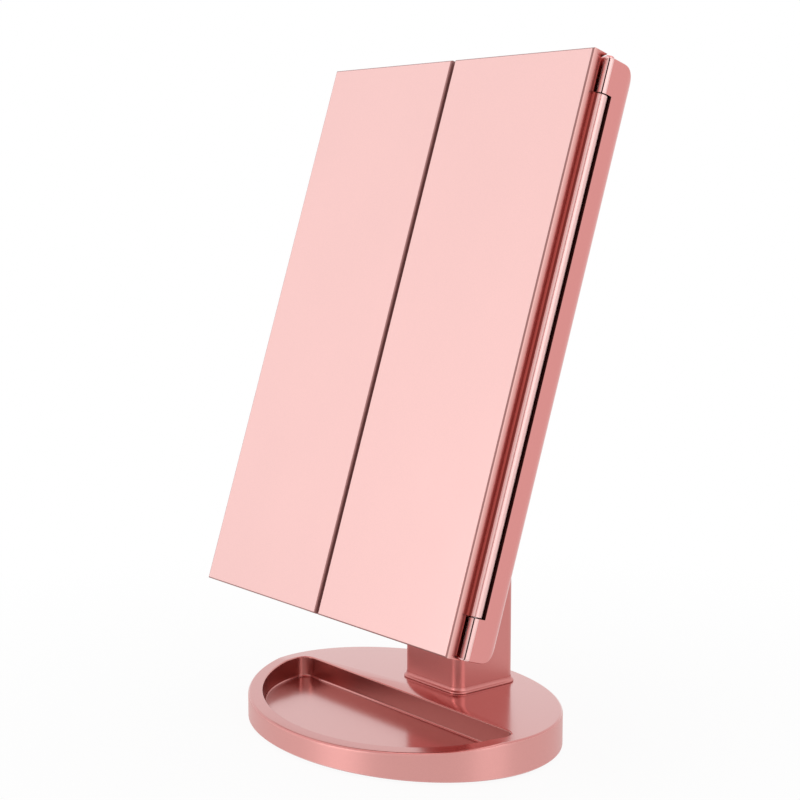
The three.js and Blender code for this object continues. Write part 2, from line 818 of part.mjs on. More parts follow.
// Leaf contact that joins two cells: a strip with a bow under each cell, facing up
function contactLeaf() {
  const bow = contactRoom - contactThickness - 2 * seatGap;
  const reach = cellPitch / 2 + cellRadius;
  const heightAt = (x) => {
    const off = Math.abs(Math.abs(x) - cellPitch / 2) / (cellRadius * bowShare);
    return off < 1 ? (bow * (1 + Math.cos(Math.PI * off))) / 2 : 0;
  };
  const low = [];
  for (let i = 0; i <= leafSteps; i += 1) {
    const x = -reach + (2 * reach * i) / leafSteps;
    low.push([x, heightAt(x)]);
  }
  const high = low.map(([x, z]) => [x, z + contactThickness]).reverse();
  const half = contactWidth / 2;
  return extrude('y', outlineShape([...low, ...high]), cellY - half, cellY + half);
}

function batteryDoor() {
  const plate = extrude('y', windowOutline(-seatGap), columnBackY - columnWall, columnBackY);
  const top = windowHigh - seatGap - 2 * gripPitch;
  const ridges = [];
  for (let i = 0; i < gripCount; i += 1) {
    const z = top - i * gripPitch;
    ridges.push(bar('x', gripRidge, -gripWidth / 2, gripWidth / 2, columnBackY, z, smallSides));
  }
  return join([plate, ...ridges]);
}

// Power inlet and switch
function powerBoard() {
  const half = boardWidth / 2;
  return box(-half, half, boardBackY - boardDepth, boardBackY, boardBottom, boardTop);
}

function usbInlet() {
  const half = inletWidth / 2;
  const low = boardTop + seatGap;
  const front = inletBackY - inletLength;
  const skin = inletSkin;
  const tongue = inletHeight * tongueShare;
  const shell = box(inletX - half, inletX + half, front, inletBackY, low, low + inletHeight);
  const mouth = box(
    inletX - half + skin,
    inletX + half - skin,
    front + skin,
    inletBackY + through,
    low + skin,
    low + inletHeight - skin,
  );
  const blade = box(
    inletX - half / 2,
    inletX + half / 2,
    front,
    inletBackY - skin,
    inletZ,
    inletZ + tongue,
  );
  return cut(toSolid(shell), [mouth]).add(toSolid(blade));
}

function switchBody() {
  const half = switchWidth / 2;
  const middle = switchX + knobTravel / 2;
  const low = boardTop + seatGap;
  const mouthHalf = (knobWidth + knobTravel) / 2 + seatGap;
  const mouthHeight = knobHeight / 2 + seatGap;
  const front = boardBackY - switchLength;
  const block = box(middle - half, middle + half, front, boardBackY, low, low + switchHeight);
  const mouth = box(
    middle - mouthHalf,
    middle + mouthHalf,
    boardBackY - switchMouth,
    boardBackY + through,
    switchZ - mouthHeight,
    switchZ + mouthHeight,
  );
  return cut(toSolid(block), [mouth]);
}

function switchKnob() {
  const [w, h] = [knobWidth / 2, knobHeight / 2];
  const front = boardBackY - knobStem;
  const back = baseFaceY(switchX) + knobProud;
  return box(switchX - w, switchX + w, front, back, switchZ - h, switchZ + h);
}

// Tilt hinge
function hingeAxle() {
  const seat = columnWidth / 2 - pocketDepth + seatGap;
  const end = -(seat + axleHeadHeight);
  const profile = [
    new THREE.Vector2(0, end),
    new THREE.Vector2(axleRadius, end),
    new THREE.Vector2(axleRadius, seat),
    new THREE.Vector2(axleHeadRadius, seat),
    new THREE.Vector2(axleHeadRadius, seat + axleHeadHeight),
    new THREE.Vector2(0, seat + axleHeadHeight),
  ];
  return new THREE.LatheGeometry(profile, roundSides)
    .rotateZ(-Math.PI / 2)
    .translate(0, columnCentreY, axisZ);
}

function ringBar(outer, inner, from, to, facets) {
  return cut(toSolid(bar('x', outer, from, to, columnCentreY, axisZ, facets)), [
    bar('x', inner, from - through, to + through, columnCentreY, axisZ),
  ]);
}

function hingeNut() {
  const seat = columnWidth / 2 - pocketDepth + seatGap;
  const hexagon = 6;
  return ringBar(axleHeadRadius, axleRadius + seatGap, -(seat + axleHeadHeight), -seat, hexagon);
}

function frictionWasher(side) {
  const inner = neckHalf + seatGap;
  const stations = [side * inner, side * (inner + washerThickness)].sort((a, b) => a - b);
  return ringBar(washerRadius, axleRadius + seatGap, ...stations, roundSides);
}

function hingeCap(side) {
  const face = columnWidth / 2;
  const profile = [
    new THREE.Vector2(0, face - capThickness),
    new THREE.Vector2(capRadius, face - capThickness),
    new THREE.Vector2(capRadius, face - capDome),
    new THREE.Vector2(capRadius - capDome, face),
    new THREE.Vector2(0, face),
  ];
  return new THREE.LatheGeometry(profile, roundSides)
    .rotateZ((-side * Math.PI) / 2)
    .translate(0, columnCentreY, axisZ);
}

const flangeScrews = sides.flatMap((across) =>
  sides.map((up) => [
    across * (flangeWidth / 2 - flangeScrewInset),
    axisUpHead + up * (flangeHeight / 2 - flangeScrewInset),
  ]),
);

function hingeNeck() {
  const axisDepth = headDepth + neckReach;
  const flangeFront = headDepth + seatGap;
  const flangeBack = flangeFront + flangeThickness;
  const root = new THREE.Vector2(flangeBack - through - axisDepth, neckHighEdge);
  const tangent = root.angle() - Math.acos(neckRadius / root.length());
  const side = new THREE.Shape();
  side.moveTo(axisDepth + root.x, axisUpHead - neckRadius);
  side.absarc(axisDepth, axisUpHead, neckRadius, -Math.PI / 2, tangent);
  side.lineTo(axisDepth + root.x, axisUpHead + neckHighEdge);
  const arm = extrude('x', side, -neckHalf, neckHalf, { bevel: neckBevel, curveSegments: neckSteps });
  const outline = roundedRect(flangeWidth, flangeHeight, flangeCorner, 0, axisUpHead);
  return cut(join([arm, extrude('y', outline, flangeFront, flangeBack)]), [
    bar('x', axleRadius + seatGap, -slotWidth, slotWidth, axisDepth, axisUpHead),
    ...flangeScrews.flatMap(([x, z]) => [
      bar('y', screwHoleRadius, headDepth, axisDepth, x, z, smallSides),
      bar('y', screwHeadRadius + seatGap, flangeBack - flangeScrewSink, axisDepth, x, z, smallSides),
    ]),
  ]);
}

function backingPlate() {
  const back = cavityBack - seatGap;
  const outline = roundedRect(
    flangeWidth - 2 * backingMargin,
    flangeHeight - 2 * backingMargin,
    flangeCorner - backingMargin,
    0,
    axisUpHead,
  );
  return cut(toSolid(extrude('y', outline, back - backingThickness, back)), [
    ...flangeScrews.map(([x, z]) => bar('y', screwHoleRadius, 0, headDepth, x, z, smallSides)),
  ]);
}

function neckScrew(x, z) {
  const seat = headDepth + seatGap + flangeThickness - flangeScrewSink + seatGap;
  const tip = cavityBack - 2 * seatGap - backingThickness;
  return screw(seat - tip).rotateX(Math.PI / 2).translate(x, seat, z);
}

// Casing of the head
function panelRing(halfX, inset, corner, depth) {
  const height = headHeight - 2 * inset;
  const shape = roundedRect(2 * halfX, height, corner, 0, headHeight / 2);
  const cornerSteps = 2;
  const points = shape.getPoints(cornerSteps).slice(0, -1);
  return points.map((p) => new THREE.Vector3(p.x, depth, p.y));
}

// Outline of the head where its sides roll round the hinge axes, with lightly rounded top and bottom edges
function rolledRing(depth) {
  const ahead = Math.max(0, hingeAxisDepth - depth);
  const inset = hingeRadius - Math.sqrt(Math.max(0, hingeRadius ** 2 - ahead ** 2));
  const short = Math.max(0, framePlane + frameFlange - depth);
  const drop = frameFlange - Math.sqrt(Math.max(0, frameFlange ** 2 - short ** 2));
  return panelRing(halfHead - inset, drop, frontCorner, depth);
}

function casingOuter() {
  const rings = [];
  const rollSteps = 3;
  for (let i = 0; i <= rollSteps; i += 1) {
    const depth = casingFront + ((hingeAxisDepth - casingFront) * i) / rollSteps;
    rings.push(rolledRing(depth));
  }
  for (let i = 0; i <= filletSteps; i += 1) {
    const angle = (Math.PI / 2) * (i / filletSteps);
    const depth = headDepth - topFillet + topFillet * Math.sin(angle);
    const past = Math.max(0, depth - (headDepth - sideFillet));
    const narrow = sideFillet - Math.sqrt(sideFillet ** 2 - Math.min(past, sideFillet) ** 2);
    const corner = frontCorner + (backCorner - frontCorner) * (1 - Math.cos(angle));
    rings.push(panelRing(halfHead - narrow, topFillet * (1 - Math.cos(angle)), corner, depth));
  }
  return loft(rings);
}

function casingCavity() {
  const rings = [panelRing(cavityX, casingWall, cavityCorner, casingFront - through)];
  const inner = topFillet - casingWall;
  const steps = 3;
  for (let i = 0; i <= steps; i += 1) {
    const angle = (Math.PI / 2) * (i / steps);
    const depth = headDepth - topFillet + inner * Math.sin(angle);
    rings.push(panelRing(cavityX, casingWall + inner * (1 - Math.cos(angle)), cavityCorner, depth));
  }
  return loft(rings);
}

function barrelSlots() {
  const outside = halfHead + through;
  return sides.map((side) => {
    const [x0, x1] = [side * slotX, side * outside].sort((a, b) => a - b);
    return box(x0, x1, framePlane - through, slotRear, lowerKnuckle, upperStep);
  });
}

function pinBore(side, from, to) {
  return bar('z', pinHoleRadius, from, to, side * hingeX, hingeAxisDepth, smallSides);
}

const casingPosts = sides.flatMap((side) => [
  [side * postX, postLow],
  [side * postX, postHigh],
]);

function rearCasing() {
  const bossFront = cavityBack - casingBossHeight;
  const standoffFront = cavityBack - standoffHeight;
  const rooted = cavityBack + through;
  const bosses = casingPosts.map(([x, z]) => bar('y', casingBossRadius, bossFront, rooted, x, z));
  const standoffs = sides.map((side) =>
    bar('y', bossRadius, standoffFront, rooted, side * controlPostX, controlUp, smallSides),
  );
  const hollow = cut(toSolid(casingOuter()), [casingCavity(), ...barrelSlots()]);
  return cut(hollow.add(join([...bosses, ...standoffs])), [
    ...sides.flatMap((side) => [
      pinBore(side, pinInset - seatGap, lowerKnuckle + through),
      pinBore(side, upperStep - through, headHeight - pinInset + seatGap),
    ]),
    ...casingPosts.flatMap(([x, z]) => [
      bar('y', screwHoleRadius, 0, headDepth + through, x, z, smallSides),
      bar('y', counterboreRadius, headDepth - counterboreDepth, headDepth + through, x, z),
    ]),
    ...flangeScrews.map(([x, z]) =>
      bar('y', screwHoleRadius, cavityBack - through, headDepth + through, x, z, smallSides),
    ),
  ]);
}

// Front frame with its mirror recess and light channels
const lights = {
  left: [-lightX - lightHalfWidth, -lightX + lightHalfWidth, lightLow, lightHigh],
  right: [lightX - lightHalfWidth, lightX + lightHalfWidth, lightLow, lightHigh],
  top: [-topLightHalf, topLightHalf, topLightZ - lightHalfWidth, topLightZ + lightHalfWidth],
};

function lightBox([x0, x1, z0, z1], grow, front, back) {
  return box(x0 - grow, x1 + grow, front, back, z0 - grow, z1 + grow);
}

function frontFrame() {
  const roll = [0, 0.1, 0.3, 0.6, 1].map((share) => framePlane + frameFlange * share);
  const flange = loft(roll.map((depth) => rolledRing(depth)));
  const plugX = cavityX - seatGap;
  const plugInset = casingWall + seatGap;
  const plug = loft([
    panelRing(plugX, plugInset, cavityCorner - seatGap, framePlane + frameFlange / 2),
    panelRing(plugX, plugInset, cavityCorner - seatGap, plugBack),
  ]);
  const channels = Object.values(lights).map((light) =>
    lightBox(light, channelWall - lightLap, plugBack - through, channelBack),
  );
  const posts = casingPosts.map(([x, z]) =>
    bar('y', bossRadius, plugBack - through, postBack, x, z, smallSides),
  );
  const body = cut(toSolid(flange), barrelSlots()).add(join([plug, ...channels, ...posts]));
  const half = sensorSize / 2 + seatGap;
  return cut(body, [
    box(
      -mirrorHalfWidth - seatGap,
      mirrorHalfWidth + seatGap,
      0,
      glassBack + seatGap,
      mirrorLow - seatGap,
      mirrorHigh + seatGap,
    ),
    box(-half, half, 0, plugBack + through, sensorUp - half, sensorUp + half),
    ...Object.values(lights).flatMap((light) => [
      lightBox(light, seatGap, 0, glassFront + lightThickness + seatGap),
      lightBox(light, -lightLap, 0, headDepth),
    ]),
    ...casingPosts.map(([x, z]) => bar('y', screwHoleRadius, plugBack, headDepth, x, z, smallSides)),
  ]);
}

function ledStrip([x0, x1, z0, z1], count) {
  const upright = z1 - z0 > x1 - x0;
  const grow = channelWall - lightLap;
  const board = lightBox([x0, x1, z0, z1], grow, stripFront, stripFront + stripThickness);
  const length = upright ? z1 - z0 : x1 - x0;
  const [lampFront, lampBack] = [stripFront - ledHeight, stripFront + stripThickness / 2];
  const lamps = [];
  for (let i = 0; i < count; i += 1) {
    const along = (upright ? z0 : x0) + (length * (i + 0.5)) / count;
    const x = upright ? (x0 + x1) / 2 : along;
    const z = upright ? along : (z0 + z1) / 2;
    const [w, h] = upright ? [ledWidth / 2, ledLength / 2] : [ledLength / 2, ledWidth / 2];
    lamps.push(box(x - w, x + w, lampFront, lampBack, z - h, z + h));
  }
  return join([board, ...lamps]);
}

function centreMirror() {
  return box(-mirrorHalfWidth, mirrorHalfWidth, glassFront, glassBack, mirrorLow, mirrorHigh);
}

function touchSensor() {
  const half = sensorSize / 2;
  const front = glassBack + seatGap;
  return box(-half, half, front, front + sensorThickness, sensorUp - half, sensorUp + half);
}

function controlBoard() {
  const back = cavityBack - standoffHeight - seatGap;
  const [w, h] = [controlWidth / 2, controlHeight / 2];
  const front = back - boardThickness;
  const [chipW, chipH] = [w * chipShare, h * chipShare];
  const [low, high] = [controlUp - chipH, controlUp + chipH];
  const chip = box(-chipW, chipW, front - boardThickness, front + boardThickness / 2, low, high);
  return join([box(-w, w, front, back, controlUp - h, controlUp + h), chip]);
}

// Wings. The outline across a wing runs from the seam, over the front face, down the scooped side
function scoopPoints() {
  const end = new THREE.Vector2(Math.cos(scoopEnd), Math.sin(scoopEnd))
    .multiplyScalar(hingeRadius)
    .add(new THREE.Vector2(hingeX, hingeAxisDepth));
  const curve = new THREE.CubicBezierCurve(
    new THREE.Vector2(halfHead, scoopStart),
    new THREE.Vector2(halfHead, scoopStart + scoopRun),
    new THREE.Vector2(end.x + scoopPull * Math.sin(scoopEnd), end.y - scoopPull * Math.cos(scoopEnd)),
    end,
  );
  return curve.getPoints(scoopSteps).map((point) => point.toArray());
}

function wingOutline(side, withBarrel) {
  const scoop = scoopPoints();
  const past = scoop.findIndex(([, depth]) => depth > wingThickness);
  const [[x0, y0], [x1, y1]] = scoop.slice(past - 1, past + 1);
  const rearX = x0 + ((x1 - x0) * (wingThickness - y0)) / (y1 - y0);
  const quarter = Math.PI / 2;
  const [edge, rim] = [wingEdgeRadius, wingRimRadius];
  const points = [
    [wingEdgeX, wingThickness],
    ...arcPoints(wingEdgeX + edge, edge, edge, 2 * quarter, 3 * quarter, wingEdgeSteps),
    ...arcPoints(halfHead - rim, rim, rim, 3 * quarter, 4 * quarter, wingRimSteps),
    ...scoop.slice(0, past),
    [rearX, wingThickness],
  ];
  if (withBarrel) {
    const aroundBarrel = (from, to, steps) =>
      arcPoints(hingeX, hingeAxisDepth, hingeRadius, from, to, steps);
    points.push(...scoop.slice(past, -1));
    points.push(...aroundBarrel(scoopEnd, groove - grooveHalf, barrelLandSteps));
    const grooved = hingeRadius - grooveDepth;
    points.push([hingeX + grooved * Math.cos(groove), hingeAxisDepth + grooved * Math.sin(groove)]);
    points.push(...aroundBarrel(groove + grooveHalf, 2 * quarter, barrelSteps));
    points.push([hingeX - hingeRadius, wingThickness]);
  }
  return outlineShape(points.map(([x, y]) => [side * x, y]));
}

// Outline of a wing seen from its side, which rounds the top and bottom of the front face
function wingSide() {
  const r = wingEdgeRadius;
  const quarter = Math.PI / 2;
  return outlineShape([
    [headDepth, 0],
    [headDepth, headHeight],
    ...arcPoints(r, headHeight - r, r, quarter, 2 * quarter, wingEdgeSteps),
    ...arcPoints(r, r, r, 2 * quarter, 3 * quarter, wingEdgeSteps),
  ]);
}

function wingCover(side) {
  const barrelLow = lowerKnuckle + knuckleGap;
  const barrelHigh = upperStep - knuckleGap;
  const body = join([
    extrude('z', wingOutline(side, false), 0, headHeight),
    extrude('z', wingOutline(side, true), barrelLow, barrelHigh),
  ]).intersect(toSolid(extrude('x', wingSide(), -headWidth, headWidth)));
  const [x0, x1] = [side * (wingEdgeX + wingSkin), side * wingPocketX].sort((a, b) => a - b);
  const inner = pinInset + pinLength + seatGap;
  return cut(body, [
    box(x0, x1, wingSkin, headDepth, wingSkin, headHeight - wingSkin),
    pinBore(side, barrelLow - through, inner),
    pinBore(side, headHeight - inner, barrelHigh + through),
  ]);
}

const wingFrameX = [wingEdgeX + wingSkin + seatGap, wingPocketX - seatGap];
const wingFrameZ = [wingSkin + seatGap, headHeight - wingSkin - seatGap];
const glassX = [wingFrameX[0] + wingFrameLip, wingFrameX[1] - wingFrameLip];
const glassLow = wingFrameZ[0] + wingFrameLip;
const glassHigh = wingFrameZ[1] - wingFrameLip;
const wingGlasses = {
  right_mirror: [1, glassLow, glassHigh],
  left_mirror_upper: [-1, magnifierSplit + magnifierBar / 2, glassHigh],
  left_mirror_lower: [-1, glassLow, magnifierSplit - magnifierBar / 2],
};

function wingBox(side, grow, [inX, outX], y0, y1, z0, z1) {
  const [x0, x1] = [side * (inX - grow), side * (outX + grow)].sort((a, b) => a - b);
  return box(x0, x1, y0, y1, z0 - grow, z1 + grow);
}

function wingFrame(side) {
  const [z0, z1] = wingFrameZ;
  const floorBack = wingGlassFront - seatGap;
  const beds = Object.values(wingGlasses).filter(([at]) => at === side);
  return cut(toSolid(wingBox(side, 0, wingFrameX, wingFrameFront, wingFrameBack, z0, z1)), [
    wingBox(side, -wingFrameWall, wingFrameX, 0, floorBack - wingFrameFloor, z0, z1),
    ...beds.map(([, low, high]) => wingBox(side, seatGap, glassX, floorBack, headDepth, low, high)),
  ]);
}

// Glass whose seen face is hollowed by sag in the middle
function wingMirror(side, low, high, sag) {
  const [width, height] = [glassX[1] - glassX[0], high - low];
  const [across, up] = sag > 0 ? [hollowAcross, hollowUp] : [1, 1];
  const geometry = new THREE.BoxGeometry(width, wingGlass, height, across, 1, up);
  const position = geometry.attributes.position;
  for (let i = 0; i < position.count; i += 1) {
    const off = ((2 * position.getX(i)) / width) ** 2 + ((2 * position.getZ(i)) / height) ** 2;
    if (position.getY(i) > 0) position.setY(i, position.getY(i) - sag * (1 - off / 2));
  }
  const middleX = (side * (glassX[0] + glassX[1])) / 2;
  return geometry.translate(middleX, (wingGlassFront + wingGlassBack) / 2, (low + high) / 2);
}

function hingePin(side, low) {
  return bar('z', pinRadius, low, low + pinLength, side * hingeX, hingeAxisDepth, smallSides);
}

// Assembly
const mirror = new THREE.Group();

place(mirror, 'base_shell', baseShell(), roseGloss);
place(mirror, 'base_cover', baseCover(), darkPlastic);
Object.entries(feet).forEach(([name, [x, y]]) => place(mirror, name, foot(x, y), rubber));
place(mirror, 'ballast_plate', ballastPlate(), steel);
place(mirror, 'column_shell', columnShell(), roseGloss);
place(mirror, 'clamp_plate', clampPlate(), steel);
sides.forEach((side) => {
  const name = side < 0 ? 'clamp_screw_left' : 'clamp_screw_right';
  const piece = screw(clampScrewLength).translate(side * clampBossX, clampBossY, clampBottom - seatGap);
  place(mirror, name, piece, steel);
});

place(mirror, 'battery_tray', batteryTray(), darkPlastic);
const firstCell = batteryBottom + batteryWall + contactRoom;
sides.forEach((side) => {
  [0, 1].forEach((level) => {
    const low = firstCell + level * (cellLength + seatGap);
    const upright = side > 0;
    const piece = cell();
    if (!upright) piece.rotateX(Math.PI).translate(0, 0, cellLength);
    piece.translate((side * cellPitch) / 2, cellY, low);
    place(mirror, `battery_cell_${side < 0 ? 'left' : 'right'}_${level + 1}`, piece, cellJacket);
  });
});
const leafLow = contactLeaf().translate(0, 0, batteryBottom + batteryWall + seatGap);
const leafHigh = contactLeaf().rotateY(Math.PI).translate(0, 0, batteryTop - batteryWall - seatGap);
place(mirror, 'contact_leaf_lower', leafLow, contactMetal);
place(mirror, 'contact_leaf_upper', leafHigh, contactMetal);
place(mirror, 'battery_door', batteryDoor(), roseGloss);

place(mirror, 'power_board', powerBoard(), boardGreen);
place(mirror, 'usb_inlet', usbInlet(), steel);
place(mirror, 'switch_body', switchBody(), darkPlastic);
place(mirror, 'switch_knob', switchKnob(), darkPlastic);

place(mirror, 'hinge_axle', hingeAxle(), steel);
place(mirror, 'hinge_nut', hingeNut(), steel);
place(mirror, 'friction_washer_left', frictionWasher(-1), steel);
place(mirror, 'friction_washer_right', frictionWasher(1), steel);
place(mirror, 'hinge_cap_left', hingeCap(-1), roseGloss);
place(mirror, 'hinge_cap_right', hingeCap(1), roseGloss);

// The head turns about the tilt axis; panel holds everything measured up the leaning head
const head = new THREE.Group();
head.position.set(0, columnCentreY, axisZ);
head.rotation.x = -headLean;
mirror.add(head);
const panel = new THREE.Group();
panel.position.set(0, -(headDepth + neckReach), -axisUpHead);
head.add(panel);

place(panel, 'hinge_neck', hingeNeck(), roseGloss);
place(panel, 'backing_plate', backingPlate(), steel);
flangeScrews.forEach(([x, z], i) => place(panel, `neck_screw_${i + 1}`, neckScrew(x, z), steel));
place(panel, 'rear_casing', rearCasing(), roseSatin);
place(panel, 'front_frame', frontFrame(), roseSatin);
place(panel, 'centre_mirror', centreMirror(), mirrorGlass);
Object.entries(lights).forEach(([name, light]) => {
  const window = lightBox(light, 0, glassFront, glassFront + lightThickness);
  place(panel, `light_window_${name}`, window, frosted);
  place(panel, `led_strip_${name}`, ledStrip(light, name === 'top' ? topLeds : sideLeds), boardWhite);
});
place(panel, 'touch_sensor', touchSensor(), boardGreen);
place(panel, 'control_board', controlBoard(), boardGreen);

sides.forEach((side) => {
  const name = side < 0 ? 'left' : 'right';
  place(panel, `hinge_pin_${name}_lower`, hingePin(side, pinInset), steel);
  place(panel, `hinge_pin_${name}_upper`, hingePin(side, headHeight - pinInset - pinLength), steel);
  place(panel, `${name}_wing_cover`, wingCover(side), roseSatin);
  place(panel, `${name}_wing_frame`, wingFrame(side), whitePlastic);
});
Object.entries(wingGlasses).forEach(([name, [side, low, high]]) => {
  const sag = side < 0 ? magnifierSag : 0;
  place(panel, name, wingMirror(side, low, high, sag), mirrorGlass);
});

export default mirror;
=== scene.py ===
import json
from math import acos, asin, atan2, cos, hypot, pi, radians, sin, sqrt

import bmesh
import bpy
from mathutils import Matrix, Vector


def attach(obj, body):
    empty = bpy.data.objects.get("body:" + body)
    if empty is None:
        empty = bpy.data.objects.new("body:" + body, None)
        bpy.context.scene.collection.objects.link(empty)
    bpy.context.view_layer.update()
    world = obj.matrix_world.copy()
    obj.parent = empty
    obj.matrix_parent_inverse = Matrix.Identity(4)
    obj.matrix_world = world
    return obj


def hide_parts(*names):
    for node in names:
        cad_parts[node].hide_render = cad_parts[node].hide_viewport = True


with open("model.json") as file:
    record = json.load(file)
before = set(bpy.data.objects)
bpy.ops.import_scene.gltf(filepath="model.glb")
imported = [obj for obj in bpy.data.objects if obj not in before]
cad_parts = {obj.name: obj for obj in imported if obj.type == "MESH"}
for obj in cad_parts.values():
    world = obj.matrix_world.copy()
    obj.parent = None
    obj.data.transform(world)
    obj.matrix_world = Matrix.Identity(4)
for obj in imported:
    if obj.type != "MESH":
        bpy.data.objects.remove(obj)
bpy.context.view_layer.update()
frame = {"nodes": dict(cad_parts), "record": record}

# Tri-fold lighted makeup mirror, closed. Its lengths are in millimetres, those of the stage in metres
mm = 0.001
quarter = pi / 2
sides = {-1: "left", 1: "right"}
overlap = 1.0  # how far a cutter or a joined part reaches past a face
nodes = frame["nodes"]


# Frame of the leaning head: x across, y backwards from the front faces, z up the panel
head = {"width": 180.0, "height": 260.1, "depth": 30.0, "lean": radians(17.91),
        "axisY": 35.5, "axisZ": 151.0, "axisDepth": 53.45, "axisUp": 110.4, "bore": 3.3}
panelFrame = (Matrix.Translation((0, head["axisY"] * mm, head["axisZ"] * mm))
              @ Matrix.Rotation(-head["lean"], 4, "X")
              @ Matrix.Translation((0, -head["axisDepth"] * mm, -head["axisUp"] * mm)))
upright = Matrix.Identity(4)  # frame of all that doesn't lean


def addObject(name, data):
    thing = bpy.data.objects.new(name, data)
    bpy.context.scene.collection.objects.link(thing)
    return thing


# Camera, where the photograph was taken from
camera = {"place": (582.14, -469.42, 250.40), "azimuth": radians(51.167), "down": radians(7.273),
          "lens": 73.86, "sensor": 36.0}


def addCamera():
    lens = bpy.data.cameras.new("camera")
    lens.lens = camera["lens"]
    lens.sensor_width = camera["sensor"]
    lens.sensor_fit = "HORIZONTAL"
    lens.clip_start = 0.01
    lens.clip_end = 50
    eye = addObject("camera", lens)
    eye.location = Vector(camera["place"]) * mm
    eye.rotation_euler = (quarter - camera["down"], 0, camera["azimuth"])
    bpy.context.scene.camera = eye


addCamera()
print("camera ready")


# Angles, points and outlines
def turns(end, steps):  # angles from zero to the end, both included
    return [end * i / steps for i in range(steps + 1)]


def arc(cx, cy, radius, start, end, steps):
    angles = [start + a for a in turns(end - start, steps)]
    return [(cx + radius * cos(a), cy + radius * sin(a)) for a in angles]


def rect(left, low, right, high):
    return [(left, low), (right, low), (right, high), (left, high)]


def roundedRect(width, height, radius, cx=0.0, cy=0.0, steps=8):
    w, h = width / 2 - radius, height / 2 - radius
    corners = ((w, -h), (w, h), (-w, h), (-w, -h))
    points = []
    for i, (x, y) in enumerate(corners):
        points += arc(cx + x, cy + y, radius, (i - 1) * quarter, i * quarter, steps)
    return points


# Meshes
tolerance = {"weld": 0.002, "sliver": 0.001, "flat": radians(0.6)}
spot = {"x": lambda u, v, t: (t, u, v), "y": lambda u, v, t: (u, t, v), "z": lambda u, v, t: (u, v, t)}


def toObject(name, bm, place):
    bmesh.ops.remove_doubles(bm, verts=bm.verts, dist=tolerance["weld"] * mm)
    bmesh.ops.dissolve_degenerate(bm, edges=bm.edges, dist=tolerance["sliver"] * mm)
    bmesh.ops.recalc_face_normals(bm, faces=bm.faces)
    mesh = bpy.data.meshes.new(name)
    bm.to_mesh(mesh)
    bm.free()
    mesh.transform(place)
    return addObject(name, mesh)


def skin(name, rings, place=upright, fan=False):  # closed skin over rings of equally many points
    bm = bmesh.new()
    rows = [[bm.verts.new(Vector(p) * mm) for p in ring] for ring in rings]
    count = len(rows[0])
    for low, high in zip(rows, rows[1:]):
        for i in range(count):
            j = (i + 1) % count
            bm.faces.new((low[i], low[j], high[j], high[i]))
    for row in (rows[0], rows[-1]):
        if fan:
            middle = bm.verts.new(sum((v.co for v in row), Vector()) / count)
            for i in range(count):
                bm.faces.new((row[i], row[(i + 1) % count], middle))
        else:
            bm.faces.new(row)
    return toObject(name, bm, place)


def prism(name, outline, axis, start, end, place=upright):  # outline in the other two axes
    return skin(name, [[spot[axis](u, v, t) for u, v in outline] for t in (start, end)], place)


def rod(name, axis, radius, start, end, u, v, place=upright, steps=48):
    return prism(name, arc(u, v, radius, 0, 2 * pi, steps)[:-1], axis, start, end, place)


def lathe(name, profile, axis, u, v, place=upright, steps=48):  # profile of (radius, station)
    angles = turns(2 * pi, steps)[:-1]
    rings = [[spot[axis](u + r * cos(a), v + r * sin(a), t) for a in angles] for r, t in profile]
    return skin(name, rings, place)


def bake(piece):
    made = bpy.data.meshes.new_from_object(piece.evaluated_get(bpy.context.evaluated_depsgraph_get()))
    old = piece.data
    piece.modifiers.clear()
    piece.data = made
    made.name = old.name
    bpy.data.meshes.remove(old)


def carve(piece, cutters, how="DIFFERENCE"):
    for cutter in cutters:
        step = piece.modifiers.new("carve", "BOOLEAN")
        step.operation = how
        step.solver = "MANIFOLD"
        step.object = cutter
    bake(piece)
    for cutter in cutters:
        bpy.data.objects.remove(cutter)


def soften(piece, width, sharp=30):  # rounds sharp edges, unless width is 0, and keeps flat faces flat
    if width:
        edge = piece.modifiers.new("edge", "BEVEL")
        edge.width = width * mm
        edge.segments = 3
        edge.limit_method = "ANGLE"
        edge.angle_limit = radians(sharp)
        edge.use_clamp_overlap = True
        bake(piece)
    piece.data.shade_smooth()
    piece.data.set_sharp_from_angle(angle=radians(sharp))
    even = piece.modifiers.new("even", "WEIGHTED_NORMAL")
    even.keep_sharp = True
    even.weight = 60
    bake(piece)


def dress(piece, material, body, slot, *replaced):
    piece.data.materials.clear()
    piece.data.materials.append(material)
    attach(piece, body)
    if replaced:
        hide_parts(*replaced)


def copyNode(node, material, body, slot, edge):  # CAD solid with its flats joined and its edges rounded
    bm = bmesh.new()
    bm.from_mesh(nodes[node].data)
    bmesh.ops.remove_doubles(bm, verts=bm.verts, dist=tolerance["weld"] * mm)
    bmesh.ops.dissolve_limit(bm, angle_limit=tolerance["flat"], verts=bm.verts, edges=bm.edges)
    mesh = bpy.data.meshes.new(node)
    bm.to_mesh(mesh)
    bm.free()
    piece = addObject(node + "_fine", mesh)
    soften(piece, edge)
    dress(piece, material, body, slot, node)
    return piece


def paintHead(piece, more, pick):  # pick tells a face's finish from its centre in the head's frame
    for material in more:
        piece.data.materials.append(material)
    toPanel = panelFrame.inverted()
    for face in piece.data.polygons:
        face.material_index = pick(*(toPanel @ face.center) / mm)


